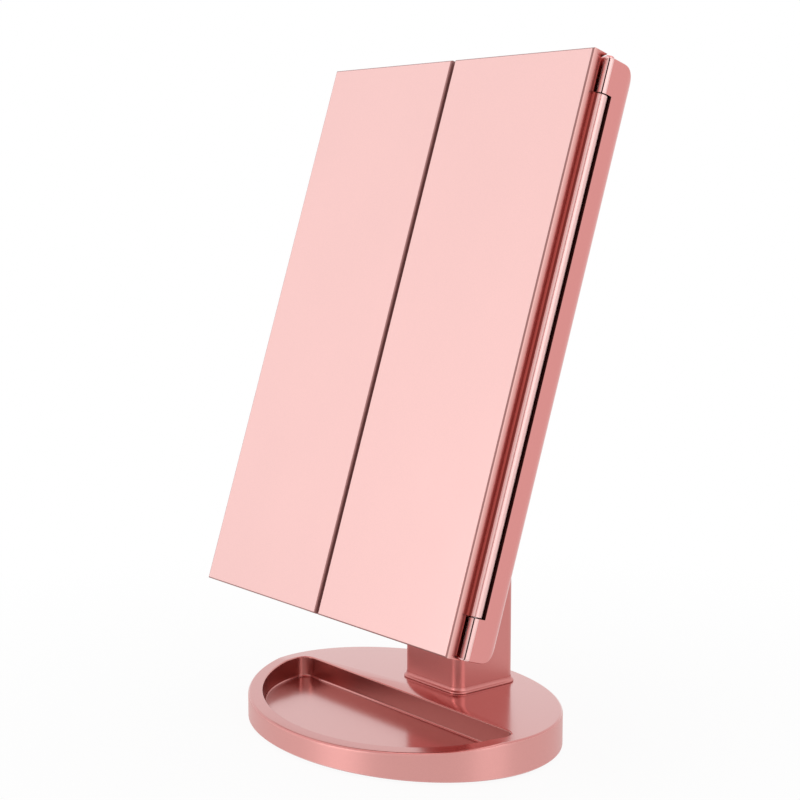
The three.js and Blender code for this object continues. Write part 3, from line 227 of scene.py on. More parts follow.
# Finishes. Each is a node material with fine variation in colour, most also in roughness or relief
def depthPaintedLight(tree, place, paintedShades):  # painted highlight and shade by depth behind the front of the head, in millimetres
    axis = panelFrame.to_3x3() @ Vector((0, 1, 0))
    front = axis.dot(panelFrame.translation)
    deepest = paintedShades[-1][0]
    depth = tree.nodes.new("ShaderNodeVectorMath")
    depth.operation = "DOT_PRODUCT"
    depth.inputs[1].default_value = axis
    tree.links.new(place, depth.inputs[0])
    share = tree.nodes.new("ShaderNodeMapRange")
    share.inputs["From Min"].default_value = front
    share.inputs["From Max"].default_value = front + deepest * mm
    tree.links.new(depth.outputs["Value"], share.inputs["Value"])
    ramp = tree.nodes.new("ShaderNodeValToRGB")
    stops = ramp.color_ramp.elements
    while len(stops) < len(paintedShades):
        stops.new(1.0)
    for stop, (at, colour) in zip(stops, paintedShades):
        stop.position = at / deepest
        stop.color = (*colour, 1)
    tree.links.new(share.outputs["Result"], ramp.inputs["Fac"])
    return ramp.outputs["Color"]


def finish(name, colour, metallic, roughness, *, grain, grainSize=0.3, relief=0.0, cloud=0.0,
           roughVary=0.0, coat=0.0, coatRoughness=0.1, coatIor=1.5, brushed=0.0, paintedShades=None):
    material = bpy.data.materials.new(name)
    material.use_nodes = True
    tree = material.node_tree
    shader = tree.nodes["Principled BSDF"]
    shader.inputs["Metallic"].default_value = metallic
    shader.inputs["Roughness"].default_value = roughness
    shader.inputs["Coat Weight"].default_value = coat
    shader.inputs["Coat Roughness"].default_value = coatRoughness
    shader.inputs["Coat IOR"].default_value = coatIor
    place = tree.nodes.new("ShaderNodeTexCoord").outputs["Object"]

    def noise(scale, detail):
        field = tree.nodes.new("ShaderNodeTexNoise")
        field.inputs["Scale"].default_value = scale
        field.inputs["Detail"].default_value = detail
        tree.links.new(place, field.inputs["Vector"])
        return field.outputs["Fac"]

    def spread(field, low, high):
        ramp = tree.nodes.new("ShaderNodeMapRange")
        ramp.inputs["From Min"].default_value = 0.3
        ramp.inputs["From Max"].default_value = 0.7
        ramp.inputs["To Min"].default_value = low
        ramp.inputs["To Max"].default_value = high
        tree.links.new(field, ramp.inputs["Value"])
        return ramp.outputs["Result"]

    speckle = noise(scale=1 / (grainSize * mm), detail=1.0)
    drift = noise(scale=18.0, detail=3.0)
    value = spread(speckle, 1 - grain, 1 + grain)
    if cloud:
        both = tree.nodes.new("ShaderNodeMath")
        both.operation = "MULTIPLY"
        tree.links.new(value, both.inputs[0])
        tree.links.new(spread(drift, 1 - cloud, 1 + cloud), both.inputs[1])
        value = both.outputs[0]
    shade = tree.nodes.new("ShaderNodeHueSaturation")
    if paintedShades:
        tree.links.new(depthPaintedLight(tree, place, paintedShades), shade.inputs["Color"])
    else:
        shade.inputs["Color"].default_value = (*colour, 1)
    tree.links.new(value, shade.inputs["Value"])
    tree.links.new(shade.outputs["Color"], shader.inputs["Base Color"])
    if roughVary:
        rough = spread(drift, roughness - roughVary, roughness + roughVary)
        tree.links.new(rough, shader.inputs["Roughness"])
    if brushed:  # brush lines run round the piece, so highlights stretch up and down
        tangent = tree.nodes.new("ShaderNodeTangent")
        tangent.direction_type = "RADIAL"
        tangent.axis = "Z"
        tree.links.new(tangent.outputs["Tangent"], shader.inputs["Tangent"])
        shader.inputs["Anisotropic"].default_value = brushed
        shader.inputs["Anisotropic Rotation"].default_value = 0.25
    if relief:
        bump = tree.nodes.new("ShaderNodeBump")
        bump.inputs["Strength"].default_value = 1.0
        bump.inputs["Distance"].default_value = relief * mm
        tree.links.new(speckle, bump.inputs["Height"])
        tree.links.new(bump.outputs["Normal"], shader.inputs["Normal"])
    return material


# A paler, lit copy of the rose satin: painted sheen on the fronts, the barrels and the rolled edges
roseFrontLit = finish("roseFrontLit", (0.875, 0.555, 0.535), 0.8, 0.36, grain=0.03, grainSize=0.25,
                   relief=0.002, cloud=0.01, roughVary=0.01)
roseSide = finish("roseSide", (0.71, 0.285, 0.27), 1.0, 0.2, grain=0.03, grainSize=0.25,
                  relief=0.001, cloud=0.01, roughVary=0.01)
# Darker copy of the rose satin: painted shade in the seam between the wings
roseSeamShade = finish("roseSeamShade", (0.42, 0.19, 0.18), 0.3, 0.5, grain=0.03, grainSize=0.25)
roseBase = finish("roseBase", (0.60, 0.225, 0.21), 1.0, 0.2, grain=0.03, relief=0.0004, cloud=0.015,
                  roughVary=0.01, coat=1.0, coatRoughness=0.15, coatIor=1.42)
rosePost = finish("rosePost", (0.60, 0.225, 0.21), 1.0, 0.38, grain=0.03, relief=0.0005, cloud=0.015,
                  roughVary=0.015)
# Deeper copy of the base's rose: painted shade on the wall of the tray
roseTrayShade = finish("roseTrayShade", (0.40, 0.15, 0.135), 1.0, 0.28, grain=0.04, relief=0.0005)
# Near-black rose: painted shade inside the casing's slots
roseSlotShade = finish("roseSlotShade", (0.12, 0.04, 0.038), 1.0, 0.4, grain=0.04)
# Lighter, brushed copy of the base's rose: painted light on the outer wall of the base
roseWallBrushedLit = finish("roseWallBrushedLit", (0.72, 0.345, 0.325), 1.0, 0.45, grain=0.03, relief=0.001, cloud=0.01,
                  brushed=0.85)

# Side of a wing by depth, painted light and shade: a fine dark line along the edge, a painted highlight on
# the rim, then painted shade, redder and ever darker down the scoop, and a little paler again beside the
# barrel
scoopPaintedLight = [(0.5, (0.36, 0.18, 0.17)), (0.85, (0.86, 0.49, 0.46)), (1.6, (0.80, 0.41, 0.38)),
               (3.0, (0.66, 0.27, 0.25)), (4.6, (0.66, 0.25, 0.23)), (6.5, (0.70, 0.22, 0.20)),
               (8.5, (0.36, 0.065, 0.055)), (9.6, (0.16, 0.022, 0.018)), (10.4, (0.34, 0.08, 0.07))]
# Finish of the scooped side, with its painted highlight and shade
roseScoopPaintedLight = finish("roseScoopPaintedLight", None, 1.0, 0.3, grain=0.03, grainSize=0.25, paintedShades=scoopPaintedLight)
whitePlastic = finish("whitePlastic", (0.83, 0.80, 0.79), 0.0, 0.42, grain=0.015, relief=0.004,
                      roughVary=0.03)
darkPlastic = finish("darkPlastic", (0.035, 0.033, 0.034), 0.0, 0.55, grain=0.15, relief=0.01,
                     roughVary=0.05)
mirrorGlass = finish("mirrorGlass", (0.90, 0.91, 0.92), 1.0, 0.025, grain=0.003, cloud=0.004,
                     roughVary=0.008)
frostedLens = finish("frostedLens", (0.92, 0.92, 0.89), 0.0, 0.5, grain=0.02, grainSize=0.5, relief=0.01)
rubber = finish("rubber", (0.05, 0.045, 0.045), 0.0, 0.8, grain=0.2, relief=0.02, roughVary=0.05)
steel = finish("steel", (0.56, 0.57, 0.59), 1.0, 0.32, grain=0.06, grainSize=0.4, relief=0.003,
               roughVary=0.05)
contactMetal = finish("contactMetal", (0.72, 0.69, 0.62), 1.0, 0.28, grain=0.04, roughVary=0.04)
boardGreen = finish("boardGreen", (0.035, 0.16, 0.08), 0.0, 0.4, grain=0.12, grainSize=0.6, relief=0.01)
boardWhite = finish("boardWhite", (0.88, 0.88, 0.85), 0.0, 0.45, grain=0.03, relief=0.005)
cellJacket = finish("cellJacket", (0.10, 0.11, 0.12), 0.3, 0.4, grain=0.1, relief=0.005, roughVary=0.04)
slotFinishes = {"rose_gloss": roseBase, "rose_satin": roseSide, "mirror": mirrorGlass,
                "frosted": frostedLens, "white_plastic": whitePlastic, "dark_plastic": darkPlastic,
                "steel": steel, "rubber": rubber, "contact_metal": contactMetal,
                "board_green": boardGreen, "board_white": boardWhite, "cell_jacket": cellJacket}
print("finishes ready")


# Oval base with its sloping rim and half-moon tray
base = {"width": 170.4, "depth": 129.9, "deck": 16.75, "foot": 1.0, "rimSlope": 0.1, "breakY": -12.1,
        "edge": 1.3, "footEdge": 0.6, "wall": 2.4, "rearInset": 0.1, "rim": 7.1, "lipMargin": 0.7,
        "floor": 2.0, "deckPlate": 2.4, "trayBack": 1.3, "trayDepth": 10.0, "trayCorner": 6.0,
        "trayDraft": 0.5, "trayFillet": 1.2, "lip": 0.8, "lipTurn": radians(78), "lipRise": 0.03,
        "cutterRise": 10.0, "socket": (40.0, 35.0, 4.5), "portCorner": 1.0, "screwHole": 1.3,
        "holeRise": 5.0, "screwsInward": (17.2, 40.2), "screwY": 14.0, "steep": 0.6, "wallFrom": 0.99,
        "trayTo": 0.97, "trayPaintY": 2.3, "ovalSteps": 240, "rearSteps": 160, "traySteps": 130,
        "sharp": 28}


def baseFaceY(x):  # how far back the outer wall is at a station across
    return base["depth"] / 2 * sqrt(1 - (x / (base["width"] / 2)) ** 2)


ports = {  # openings in the rear wall, and a shallow recess round the switch
    "inlet": {"x": 12, "z": 7.4, "width": 8.2, "height": 3.4, "inner": 57.5},
    "switch": {"x": -10, "z": 8.0, "width": 7.6, "height": 2.8, "inner": 57.5},
    "recess": {"x": -10, "z": 8.0, "width": 13.0, "height": 5.4, "inner": baseFaceY(-12) - 1.2},
}


def rimHeight(y):
    return base["deck"] - base["rimSlope"] * max(0.0, base["breakY"] - y)


def ovalRing(inset, heightAt):
    rx, ry = base["width"] / 2 - inset, base["depth"] / 2 - inset
    angles = turns(2 * pi, base["ovalSteps"])[:-1]
    return [(rx * cos(a), ry * sin(a), heightAt(ry * sin(a))) for a in angles]


def rearRing(inset, z, frontY):  # the part of an oval behind a straight front
    rx, ry = base["width"] / 2 - inset, base["depth"] / 2 - inset
    start = asin(frontY / ry)
    angles = [start + a for a in turns(pi - 2 * start, base["rearSteps"])]
    return [(rx * cos(a), ry * sin(a), z) for a in angles]


def trayOutline(grow):  # oval cut off straight at the back, with round corners
    rx = base["width"] / 2 - base["rim"] + grow
    ry = base["depth"] / 2 - base["rim"] + grow
    radius = base["trayCorner"] + grow
    backY = base["trayBack"] + grow

    def normalAt(a):
        n = Vector((cos(a) / rx, sin(a) / ry))
        return n / n.length

    low, high = -pi / 4, pi / 4
    while high - low > 1e-9:  # halves in on the angle at which the corner meets the oval
        middle = (low + high) / 2
        if ry * sin(middle) - radius * normalAt(middle).y > backY - radius:
            high = middle
        else:
            low = middle
    n = normalAt(low)
    cornerX = rx * cos(low) - radius * n.x
    right = arc(cornerX, backY - radius, radius, atan2(n.y, n.x), quarter, steps=12)
    left = [(-x, y) for x, y in reversed(right)]
    sweep = [pi - low + a for a in turns(pi + 2 * low, base["traySteps"])[1:-1]]
    return right + left + [(rx * cos(a), ry * sin(a)) for a in sweep]


def trayCutter():
    floor, fillet, lip = base["deck"] - base["trayDepth"], base["trayFillet"], base["lip"]
    rings = []
    for a in turns(quarter, 5):
        grow = -base["trayDraft"] - fillet * (1 - sin(a))
        rings.append([(x, y, floor + fillet * (1 - cos(a))) for x, y in trayOutline(grow)])
    for a in turns(base["lipTurn"], 5):
        outline = trayOutline(lip * (1 - cos(a)))
        rings.append([(x, y, rimHeight(y) - lip * (1 - sin(a)) + base["lipRise"]) for x, y in outline])
    rings.append([(x, y, base["deck"] + base["cutterRise"]) for x, y in outline])
    return skin("trayCutter", rings, fan=True)


def coverScrews():
    rearX, frontX = [base["width"] / 2 - inward for inward in base["screwsInward"]]
    spots = ((rearX, base["screwY"]), (frontX, base["rim"] / 2 - baseFaceY(frontX)))
    return [(side * x, y) for side in sides for x, y in spots]


def ovalBlock():
    foot, edge = base["foot"], base["edge"]
    rings = [ovalRing(base["footEdge"], lambda y: foot), ovalRing(0, lambda y: foot + base["footEdge"])]
    for a in turns(quarter, 8):
        drop = edge * (1 - sin(a))
        rings.append(ovalRing(edge * (1 - cos(a)), lambda y: rimHeight(y) - drop))
    deckEdge = ovalRing(base["rim"] + base["lipMargin"], lambda y: base["deck"])
    rings.append([(x, max(y, base["breakY"]), z) for x, y, z in deckEdge])
    return skin("oval_base", rings, fan=True)


def baseCutters():
    underTray = base["deck"] - base["trayDepth"] - base["floor"]
    underDeck = base["deck"] - base["deckPlate"]
    behindTray = base["trayBack"] + base["lipMargin"] + base["wall"]
    inset = base["wall"] + base["rearInset"]
    under = skin("under", [ovalRing(base["wall"], lambda y: z) for z in (0, underTray)], fan=True)
    rear = skin("rear", [rearRing(inset, z, behindTray) for z in (underTray - overlap, underDeck)])
    socket = prism("socket", roundedRect(*base["socket"], 0, head["axisY"]), "z", underDeck - overlap,
                   base["deck"] + overlap)
    cutters = [under, rear, socket, trayCutter()]
    for port in ports.values():
        outline = roundedRect(port["width"], port["height"], base["portCorner"], port["x"], port["z"])
        cutters.append(prism("port", outline, "y", port["inner"], base["depth"]))
    for x, y in coverScrews():
        cutters.append(rod("hole", "z", base["screwHole"], 0, underTray + base["holeRise"], x, y))
    return cutters


def paintBase(shell):  # the outer wall is brushed and painted lighter as lit, the wall of the tray painted deeper as shade
    for material in (roseWallBrushedLit, roseTrayShade):
        shell.data.materials.append(material)
    rx, ry = base["width"] / 2 * mm, base["depth"] / 2 * mm
    for face in shell.data.polygons:
        x, y, _ = face.center
        outwards = hypot(x / rx, y / ry)
        steep = abs(face.normal.z) < base["steep"]
        if steep and outwards > base["wallFrom"]:
            face.material_index = 1
        elif steep and outwards < base["trayTo"] and y < base["trayPaintY"] * mm:
            face.material_index = 2


def addBase():
    shell = ovalBlock()
    carve(shell, baseCutters())
    soften(shell, 0, base["sharp"])
    dress(shell, roseBase, "base", "rose_gloss", "base_shell")
    paintBase(shell)


addBase()
print("base ready")


# Upright with rounded corners, a half-round top, a slot for the neck and a flared collar
column = {"width": 41.0, "thick": 36.0, "centreY": 35.5, "corner": 5.0, "wall": 2.5, "topEdge": 1.2,
          "foot": 16.8, "collarHeight": 2.75, "flare": 1.4, "land": 0.95, "footEdge": 0.15, "bead": 0.5,
          "beadTurn": radians(70), "sweepTop": 0.2, "sweepLess": 0.6, "collarInside": 2.0,
          "spigot": (39.4, 34.4, 4.2), "spigotFoot": 14.35, "slot": 21.0, "slotDrop": 16.0,
          "slotFloor": 3.0, "slotBack": 4.5, "slotSill": 2.0, "above": 200.0, "behind": 5.0,
          "window": (26.0, 27.65, 120.55), "windowCorner": 2.0, "windowDepth": 4.0,
          "capPocket": (6.8, 5.0), "capSeat": (8.3, 1.5), "sharp": 28}


def columnRing(grow, z):
    outline = roundedRect(column["width"] + 2 * grow, column["thick"] + 2 * grow, column["corner"] + grow,
                          0, column["centreY"], steps=10)
    return [(x, y, z) for x, y in outline]


def postStation(x):  # outline of the post, seen from the side, at a station across it
    inward = column["width"] / 2 - abs(x)
    corner, edge = column["corner"], column["topEdge"]
    half = column["thick"] / 2
    reach = half if inward >= corner else half - corner + sqrt(max(0, corner ** 2 - (corner - inward) ** 2))
    crown = half if inward >= edge else half - edge + sqrt(max(0, edge ** 2 - (edge - inward) ** 2))
    cy, foot = column["centreY"], column["foot"]
    bow = arc(0, 0, crown, 0, pi, steps=48)
    top = [(cy + max(-reach, min(reach, y)), head["axisZ"] + z) for y, z in bow]
    return [(x, y, z) for y, z in [(cy - reach, foot), (cy + reach, foot), *top]]


def postBlock():
    half, corner, edge = column["width"] / 2, column["corner"], column["topEdge"]
    inwards = [edge * (1 - cos(a)) for a in turns(quarter, 5)]
    inwards += [edge + (corner - edge) * i / 8 for i in range(1, 9)]
    stations = [i - half for i in inwards] + [half - i for i in reversed(inwards)]
    return skin("upright", [postStation(x) for x in stations])


def collarBlock():  # bead, then a sloping top that sweeps up into the face of the post
    foot, flare, high, land = column["foot"], column["flare"], column["collarHeight"], column["land"]
    bead, edge = column["bead"], column["footEdge"]
    rings = [columnRing(flare - edge, foot), columnRing(flare, foot + edge)]
    for a in turns(column["beadTurn"], 6):
        rings.append(columnRing(flare - bead * (1 - cos(a)), foot + land - bead + bead * sin(a)))
    for a in turns(quarter, 6)[1:]:
        grow = column["sweepTop"] + (flare - column["sweepLess"]) * (1 - sin(a))
        rings.append(columnRing(grow, foot + land + (high - land) * (1 - cos(a))))
    rings.append(columnRing(-column["collarInside"], foot + high))
    return skin("collar", rings)


def columnCutters():
    half, cy, axisZ = column["width"] / 2, column["centreY"], head["axisZ"]
    wall, slotHalf, above = column["wall"], column["slot"] / 2, column["above"]
    back, slotLow = cy + column["thick"] / 2, axisZ - column["slotDrop"]
    inside = roundedRect(column["width"] - 2 * wall, column["thick"] - 2 * wall, column["corner"] - wall,
                         0, cy)
    slot = rect(0, slotLow, back - column["slotBack"], above)
    sill = rect(cy, axisZ - column["slotSill"], back + column["behind"], above)
    width, low, top = column["window"]
    window = roundedRect(width, top - low, column["windowCorner"], 0, (low + top) / 2)
    cutters = [prism("room", inside, "z", 0, slotLow - column["slotFloor"]),
               prism("slot", slot, "x", -slotHalf, slotHalf),
               prism("sill", sill, "x", -slotHalf, slotHalf),
               prism("window", window, "y", back - column["windowDepth"], back + overlap),
               rod("axle", "x", head["bore"], -half - overlap, half + overlap, cy, axisZ)]
    for side in sides:
        for radius, deep in (column["capPocket"], column["capSeat"]):
            ends = sorted((side * (half - deep), side * (half + overlap)))
            cutters.append(rod("seat", "x", radius, *ends, cy, axisZ))
    return cutters


def addColumn():
    post = postBlock()
    spigot = prism("spigot", roundedRect(*column["spigot"], 0, column["centreY"]), "z",
                   column["spigotFoot"], column["foot"] + overlap)
    carve(post, [collarBlock(), spigot], "UNION")
    carve(post, columnCutters())
    soften(post, 0, column["sharp"])
    dress(post, rosePost, "base", "rose_gloss", "column_shell")


addColumn()
print("upright ready")


# Wing covers: rounded front edges, a scooped side that a finger pulls on, and the hinge barrel
wing = {"thick": 8.2, "gap": 2.2, "edge": 0.8, "rimEdge": 1.0, "skin": 1.8, "pocket": 2.6, "web": 2.5,
        "pocketCorner": 1.0, "behind": 40.0, "scoopStart": 1.5, "scoopRun": 3.5, "scoopPull": 4.2,
        "scoopRunOut": 1.5, "scoopEnd": radians(-65), "scoopSteps": 40, "groove": radians(-40),
        "grooveHalf": radians(4), "grooveDepth": 0.5, "hingeRadius": 3.0, "hingeDepth": 12.95,
        "barrelLow": 18.4, "barrelHigh": 243.7, "barrelEdge": 0.25, "edgeLine": 0.02, "barrelReach": 3.02,
        "sharp": 32}
hingeX = head["width"] / 2 - wing["hingeRadius"]


def scoopPoints(depth):  # cubic curve from the rim down into the barrel, at a share of its full depth
    half, start, angle = head["width"] / 2, wing["scoopStart"], wing["scoopEnd"]
    radius, pull, steps = wing["hingeRadius"], wing["scoopPull"], wing["scoopSteps"]
    end = Vector((hingeX + radius * cos(angle), wing["hingeDepth"] + radius * sin(angle)))
    knots = (Vector((half, start)), Vector((half, start + wing["scoopRun"])),
             end + Vector((pull * sin(angle), -pull * cos(angle))), end)
    shares = [i / steps for i in range(steps + 1)]
    weights = [[(1 - t) ** 3, 3 * (1 - t) ** 2 * t, 3 * (1 - t) * t * t, t ** 3] for t in shares]
    curve = [sum((w * k for w, k in zip(row, knots)), Vector((0, 0))) for row in weights]
    return [(half + (p.x - half) * depth, p.y) for p in curve]


def wingRing(side, v, barrel, shrink=0.0):  # outline across the wing, with or without its hinge barrel
    inner, r, half, thick = wing["gap"] / 2, wing["edge"], head["width"] / 2, wing["thick"]
    near = min(v, head["height"] - v)
    run = near / wing["scoopRunOut"]
    curve = scoopPoints(1.0 if run >= 1 else run * run * (3 - 2 * run))
    past = next(i for i, p in enumerate(curve) if p[1] > thick)
    (x0, y0), (x1, y1) = curve[past - 1], curve[past]
    outer = x0 + (x1 - x0) * (thick - y0) / (y1 - y0)
    rim = wing["rimEdge"]
    points = arc(inner + r, r, r, pi, 1.5 * pi, steps=8)
    points += arc(half - rim, rim, rim, 1.5 * pi, 2 * pi, steps=10)
    points += curve[:past] + [(outer, thick)]
    hx, hy, hr = hingeX, wing["hingeDepth"], wing["hingeRadius"] - shrink
    groove, halfGroove, deep = wing["groove"], wing["grooveHalf"], wing["grooveDepth"]
    tail = curve[past:-1] + arc(hx, hy, hr, wing["scoopEnd"], groove - halfGroove, steps=8)
    tail += arc(hx, hy, hr - deep, groove - halfGroove / 3, groove + halfGroove / 3, steps=2)
    tail += arc(hx, hy, hr, groove + halfGroove, pi, steps=40)
    tail += [(hx - hr, thick)]
    if not barrel:  # as many points, laid along the wing's back face
        tail = [(outer + (hx - hr - outer) * (i + 1) / len(tail), thick) for i in range(len(tail))]
    points += tail + [(inner, thick)]
    fall = r - sqrt(max(0, r ** 2 - (r - near) ** 2)) if near < r else 0.0  # rounds its two ends
    return [(side * x, max(y, fall), v) for x, y in points]


def wingFinish(x, depth, _):  # 0 front and barrel, a paler lit copy that paints their sheen, 1 scooped side with painted highlight and shade, 2 seam between the wings, painted dark as shade
    if depth < wing["edgeLine"] or hypot(abs(x) - hingeX, depth - wing["hingeDepth"]) < wing["barrelReach"]:
        return 0
    return 2 if abs(x) < wing["gap"] / 2 + wing["edge"] else 1


def addWingCover(side):
    edge, high = wing["edge"], head["height"]
    ends = [edge * (1 - cos(a)) for a in turns(quarter, 6)]
    ends += [edge + (wing["scoopRunOut"] - edge) * i / 8 for i in range(1, 9)]
    low, top, soft = wing["barrelLow"], wing["barrelHigh"], wing["barrelEdge"]
    rings = [wingRing(side, v, False) for v in ends]
    rings += [wingRing(side, low, False), wingRing(side, low, True, soft), wingRing(side, low + soft, True)]
    rings += [wingRing(side, top - soft, True), wingRing(side, top, True, soft), wingRing(side, top, False)]
    rings += [wingRing(side, high - v, False) for v in reversed(ends)]
    name = sides[side]
    cover = skin(name + "_wing", rings, panelFrame)
    inner, outer = wing["pocket"], hingeX - wing["hingeRadius"] - wing["web"]
    middle, width = side * (inner + outer) / 2, outer - inner
    hollow = roundedRect(width, high - 2 * wing["skin"], wing["pocketCorner"], middle, high / 2)
    carve(cover, [prism("pocket", hollow, "y", wing["skin"], wing["behind"], panelFrame)])
    soften(cover, 0, wing["sharp"])
    dress(cover, roseFrontLit, name + "_wing", "rose_satin", name + "_wing_cover")
    paintHead(cover, (roseScoopPaintedLight, roseSeamShade), wingFinish)


for side in sides:
    addWingCover(side)
print("wing covers ready")


# Rear casing: its front edge rolls like the barrels, and its back edges are generously rounded
casing = {"front": 11.15, "wall": 2.2, "sideFillet": 8.0, "topFillet": 10.0, "backCorner": 9.0,
          "frontCorner": 1.0, "seamDrop": 0.2, "slotX": 83.3, "slotOut": 95.0, "slotLow": 18.0,
          "slotHigh": 244.1, "slotRear": 16.4, "slotMargin": 0.1, "slotOuter": 1.0, "roomX": 81.1,
          "roomFront": 5.0, "roomRear": 22.0, "roomCorner": 3.0, "roomDraft": 4.0, "wellRadius": 3.2,
          "wellDepth": 3.0, "screws": ((-54, 42), (54, 42), (-54, 218), (54, 218)), "screwRadius": 2.8,
          "sharp": 28}


def panelRing(halfX, inset, corner, depth):
    high = head["height"]
    outline = roundedRect(2 * halfX, high - 2 * inset, corner, 0, high / 2, steps=10)
    return [(x, depth, v) for x, v in outline]


def casingBlock():
    half, depth, first = head["width"] / 2, head["depth"], casing["frontCorner"]
    r, axis = wing["hingeRadius"], wing["hingeDepth"]
    rings = []
    start = asin((axis - casing["front"]) / r)
    for i in range(9):
        a = start * (1 - i / 8)
        drop = casing["seamDrop"] if i == 0 else 0
        rings.append(panelRing(half - r * (1 - cos(a)), drop, first, axis - r * sin(a)))
    side, top = casing["sideFillet"], casing["topFillet"]
    for a in turns(quarter, 24):
        y = depth - top + top * sin(a)
        past = min(side, max(0, y - (depth - side)))
        narrow = side - sqrt(side ** 2 - past ** 2)
        bend = first + (casing["backCorner"] - first) * (1 - cos(a))
        rings.append(panelRing(half - narrow, top * (1 - cos(a)), bend, y))
    return skin("back_casing", rings, panelFrame)


def casingCutters():
    halfX, wall, corner, depth = casing["roomX"], casing["wall"], casing["roomCorner"], head["depth"]
    rings = [panelRing(halfX, wall, corner, casing["roomFront"]),
             panelRing(halfX, wall, corner, casing["roomRear"]),
             panelRing(halfX, wall + casing["roomDraft"], corner, depth - wall)]
    cutters = [skin("room", rings, panelFrame)]
    for side in sides:
        left, right = sorted((side * casing["slotX"], side * casing["slotOut"]))
        slot = rect(left, casing["roomFront"], right, casing["slotRear"])
        cutters.append(prism("slot", slot, "z", casing["slotLow"], casing["slotHigh"], panelFrame))
    for x, v in casing["screws"]:
        cutters.append(rod("well", "y", casing["wellRadius"], depth - casing["wellDepth"], depth + overlap,
                           x, v, panelFrame))
    return cutters


def casingFinish(x, depth, v):  # 1 slots, painted dark inside as shade, 2 rolled front edge, painted as pale as the barrels as lit
    margin = casing["slotMargin"]
    along = casing["slotLow"] - margin < v < casing["slotHigh"] + margin
    across = casing["slotX"] - margin < abs(x) < head["width"] / 2 - casing["slotOuter"]
    if along and across and depth < casing["slotRear"] + margin:
        return 1
    return 2 if abs(x) > hingeX and depth < wing["hingeDepth"] else 0


def addCasing():
    shell = casingBlock()
    carve(shell, casingCutters())
    soften(shell, 0, casing["sharp"])
    dress(shell, roseSide, "head", "rose_satin", "rear_casing")
    paintHead(shell, (roseSlotShade, roseFrontLit), casingFinish)


pinEnd = ((0.0, -2.0), (1.9, -2.0), (1.9, 0.4), (1.7, 0.7), (1.1, 0.9), (0.0, 1.0))  # radius, rise


def addPinEnd(side):  # domed end of the hinge pin, on top of the knuckle
    profile = [(r, head["height"] + rise) for r, rise in pinEnd]
    dome = lathe("pin_end_" + sides[side], profile, "z", side * hingeX, wing["hingeDepth"], panelFrame)
    dress(dome, roseSide, "head", "rose_satin")


addCasing()
for side in sides:
    addPinEnd(side)
print("casing ready")


# Tilt hinge: neck bolted to the head's back, and a cap over each end of the axle
neck = {"half": 8.6, "radius": 13.0, "upperEdge": 21.0, "front": 30.3, "back": 33.3, "width": 48.0,
        "height": 54.0, "corner": 6.0, "screwX": 17.0, "screwUp": 20.0, "well": 3.1, "wellDepth": 2.0,
        "boreEnd": 20.0, "edge": 0.8, "screwEdge": 0.3}
cap = {"sharp": 40,  # and its outline, as radius and depth under the face of the post
       "outline": ((8.0, 1.2), (8.0, 0.7), (7.9, 0.4), (7.3, 0.15), (5.5, 0.04), (0.5, 0.0))}


def addNeck():
    cy, cz, radius = head["axisDepth"], head["axisUp"], neck["radius"]
    rootX, rootZ = neck["back"] - overlap - cy, neck["upperEdge"]
    turn = atan2(rootZ, rootX) - acos(radius / hypot(rootX, rootZ))
    nose = arc(cy, cz, radius, -quarter, turn, steps=48)
    profile = [(cy + rootX, cz - radius), *nose, (cy + rootX, cz + rootZ)]
    arm = prism("neck", profile, "x", -neck["half"], neck["half"], panelFrame)
    flange = roundedRect(neck["width"], neck["height"], neck["corner"], 0, cz)
    carve(arm, [prism("flange", flange, "y", neck["front"], neck["back"], panelFrame)], "UNION")
    soften(arm, neck["edge"])
    cutters = []
    for x, z in [(sx * neck["screwX"], cz + sz * neck["screwUp"]) for sx in sides for sz in sides]:
        bottom = neck["back"] - neck["wellDepth"]
        cutters.append(rod("well", "y", neck["well"], bottom, cy, x, z, panelFrame))
    cutters.append(rod("bore", "x", head["bore"], -neck["boreEnd"], neck["boreEnd"], cy, cz, panelFrame))
    carve(arm, cutters)
    soften(arm, 0)
    dress(arm, rosePost, "head", "rose_gloss", "hinge_neck")


def addCap(side):
    profile = [(r, side * (column["width"] / 2 - deep)) for r, deep in cap["outline"]]
    disc = lathe("cap", profile, "x", column["centreY"], head["axisZ"])
    soften(disc, 0, cap["sharp"])
    dress(disc, rosePost, "base", "rose_gloss", "hinge_cap_" + sides[side])


addNeck()
for side in sides:
    addCap(side)


# Screws with cross recesses, built facing +y and then set in place
screwHead = {"rim": 0.5, "rise": 0.9, "turn": radians(80), "sharp": 35}
coverScrew = {"radius": 2.0, "height": 2.0}
crosses = {"free": {"arms": ((2.6, 0.6), (0.6, 2.6)), "corner": 0.2, "floor": 0.75, "end": 3.0},
           "neck": {"arms": ((3.0, 0.7), (0.7, 3.0)), "corner": 0.2, "floor": 32.4, "end": 36.0}}


def cutCross(screw, cross, place, x=0.0, z=0.0):
    arms = []
    for width, height in cross["arms"]:
        outline = roundedRect(width, height, cross["corner"], x, z)
        arms.append(prism("arm", outline, "y", cross["floor"], cross["end"], place))
    carve(screw, arms)


def addScrew(name, place, body, radius):
    rim, rise = screwHead["rim"], screwHead["rise"]
    dome = [(radius * cos(a), rim + rise * sin(a)) for a in turns(screwHead["turn"], 8)]
    screw = lathe(name, [(radius, 0.0), *dome], "y", 0, 0, place)
    cutCross(screw, crosses["free"], place)
    soften(screw, 0, screwHead["sharp"])
    dress(screw, steel, body, "steel")


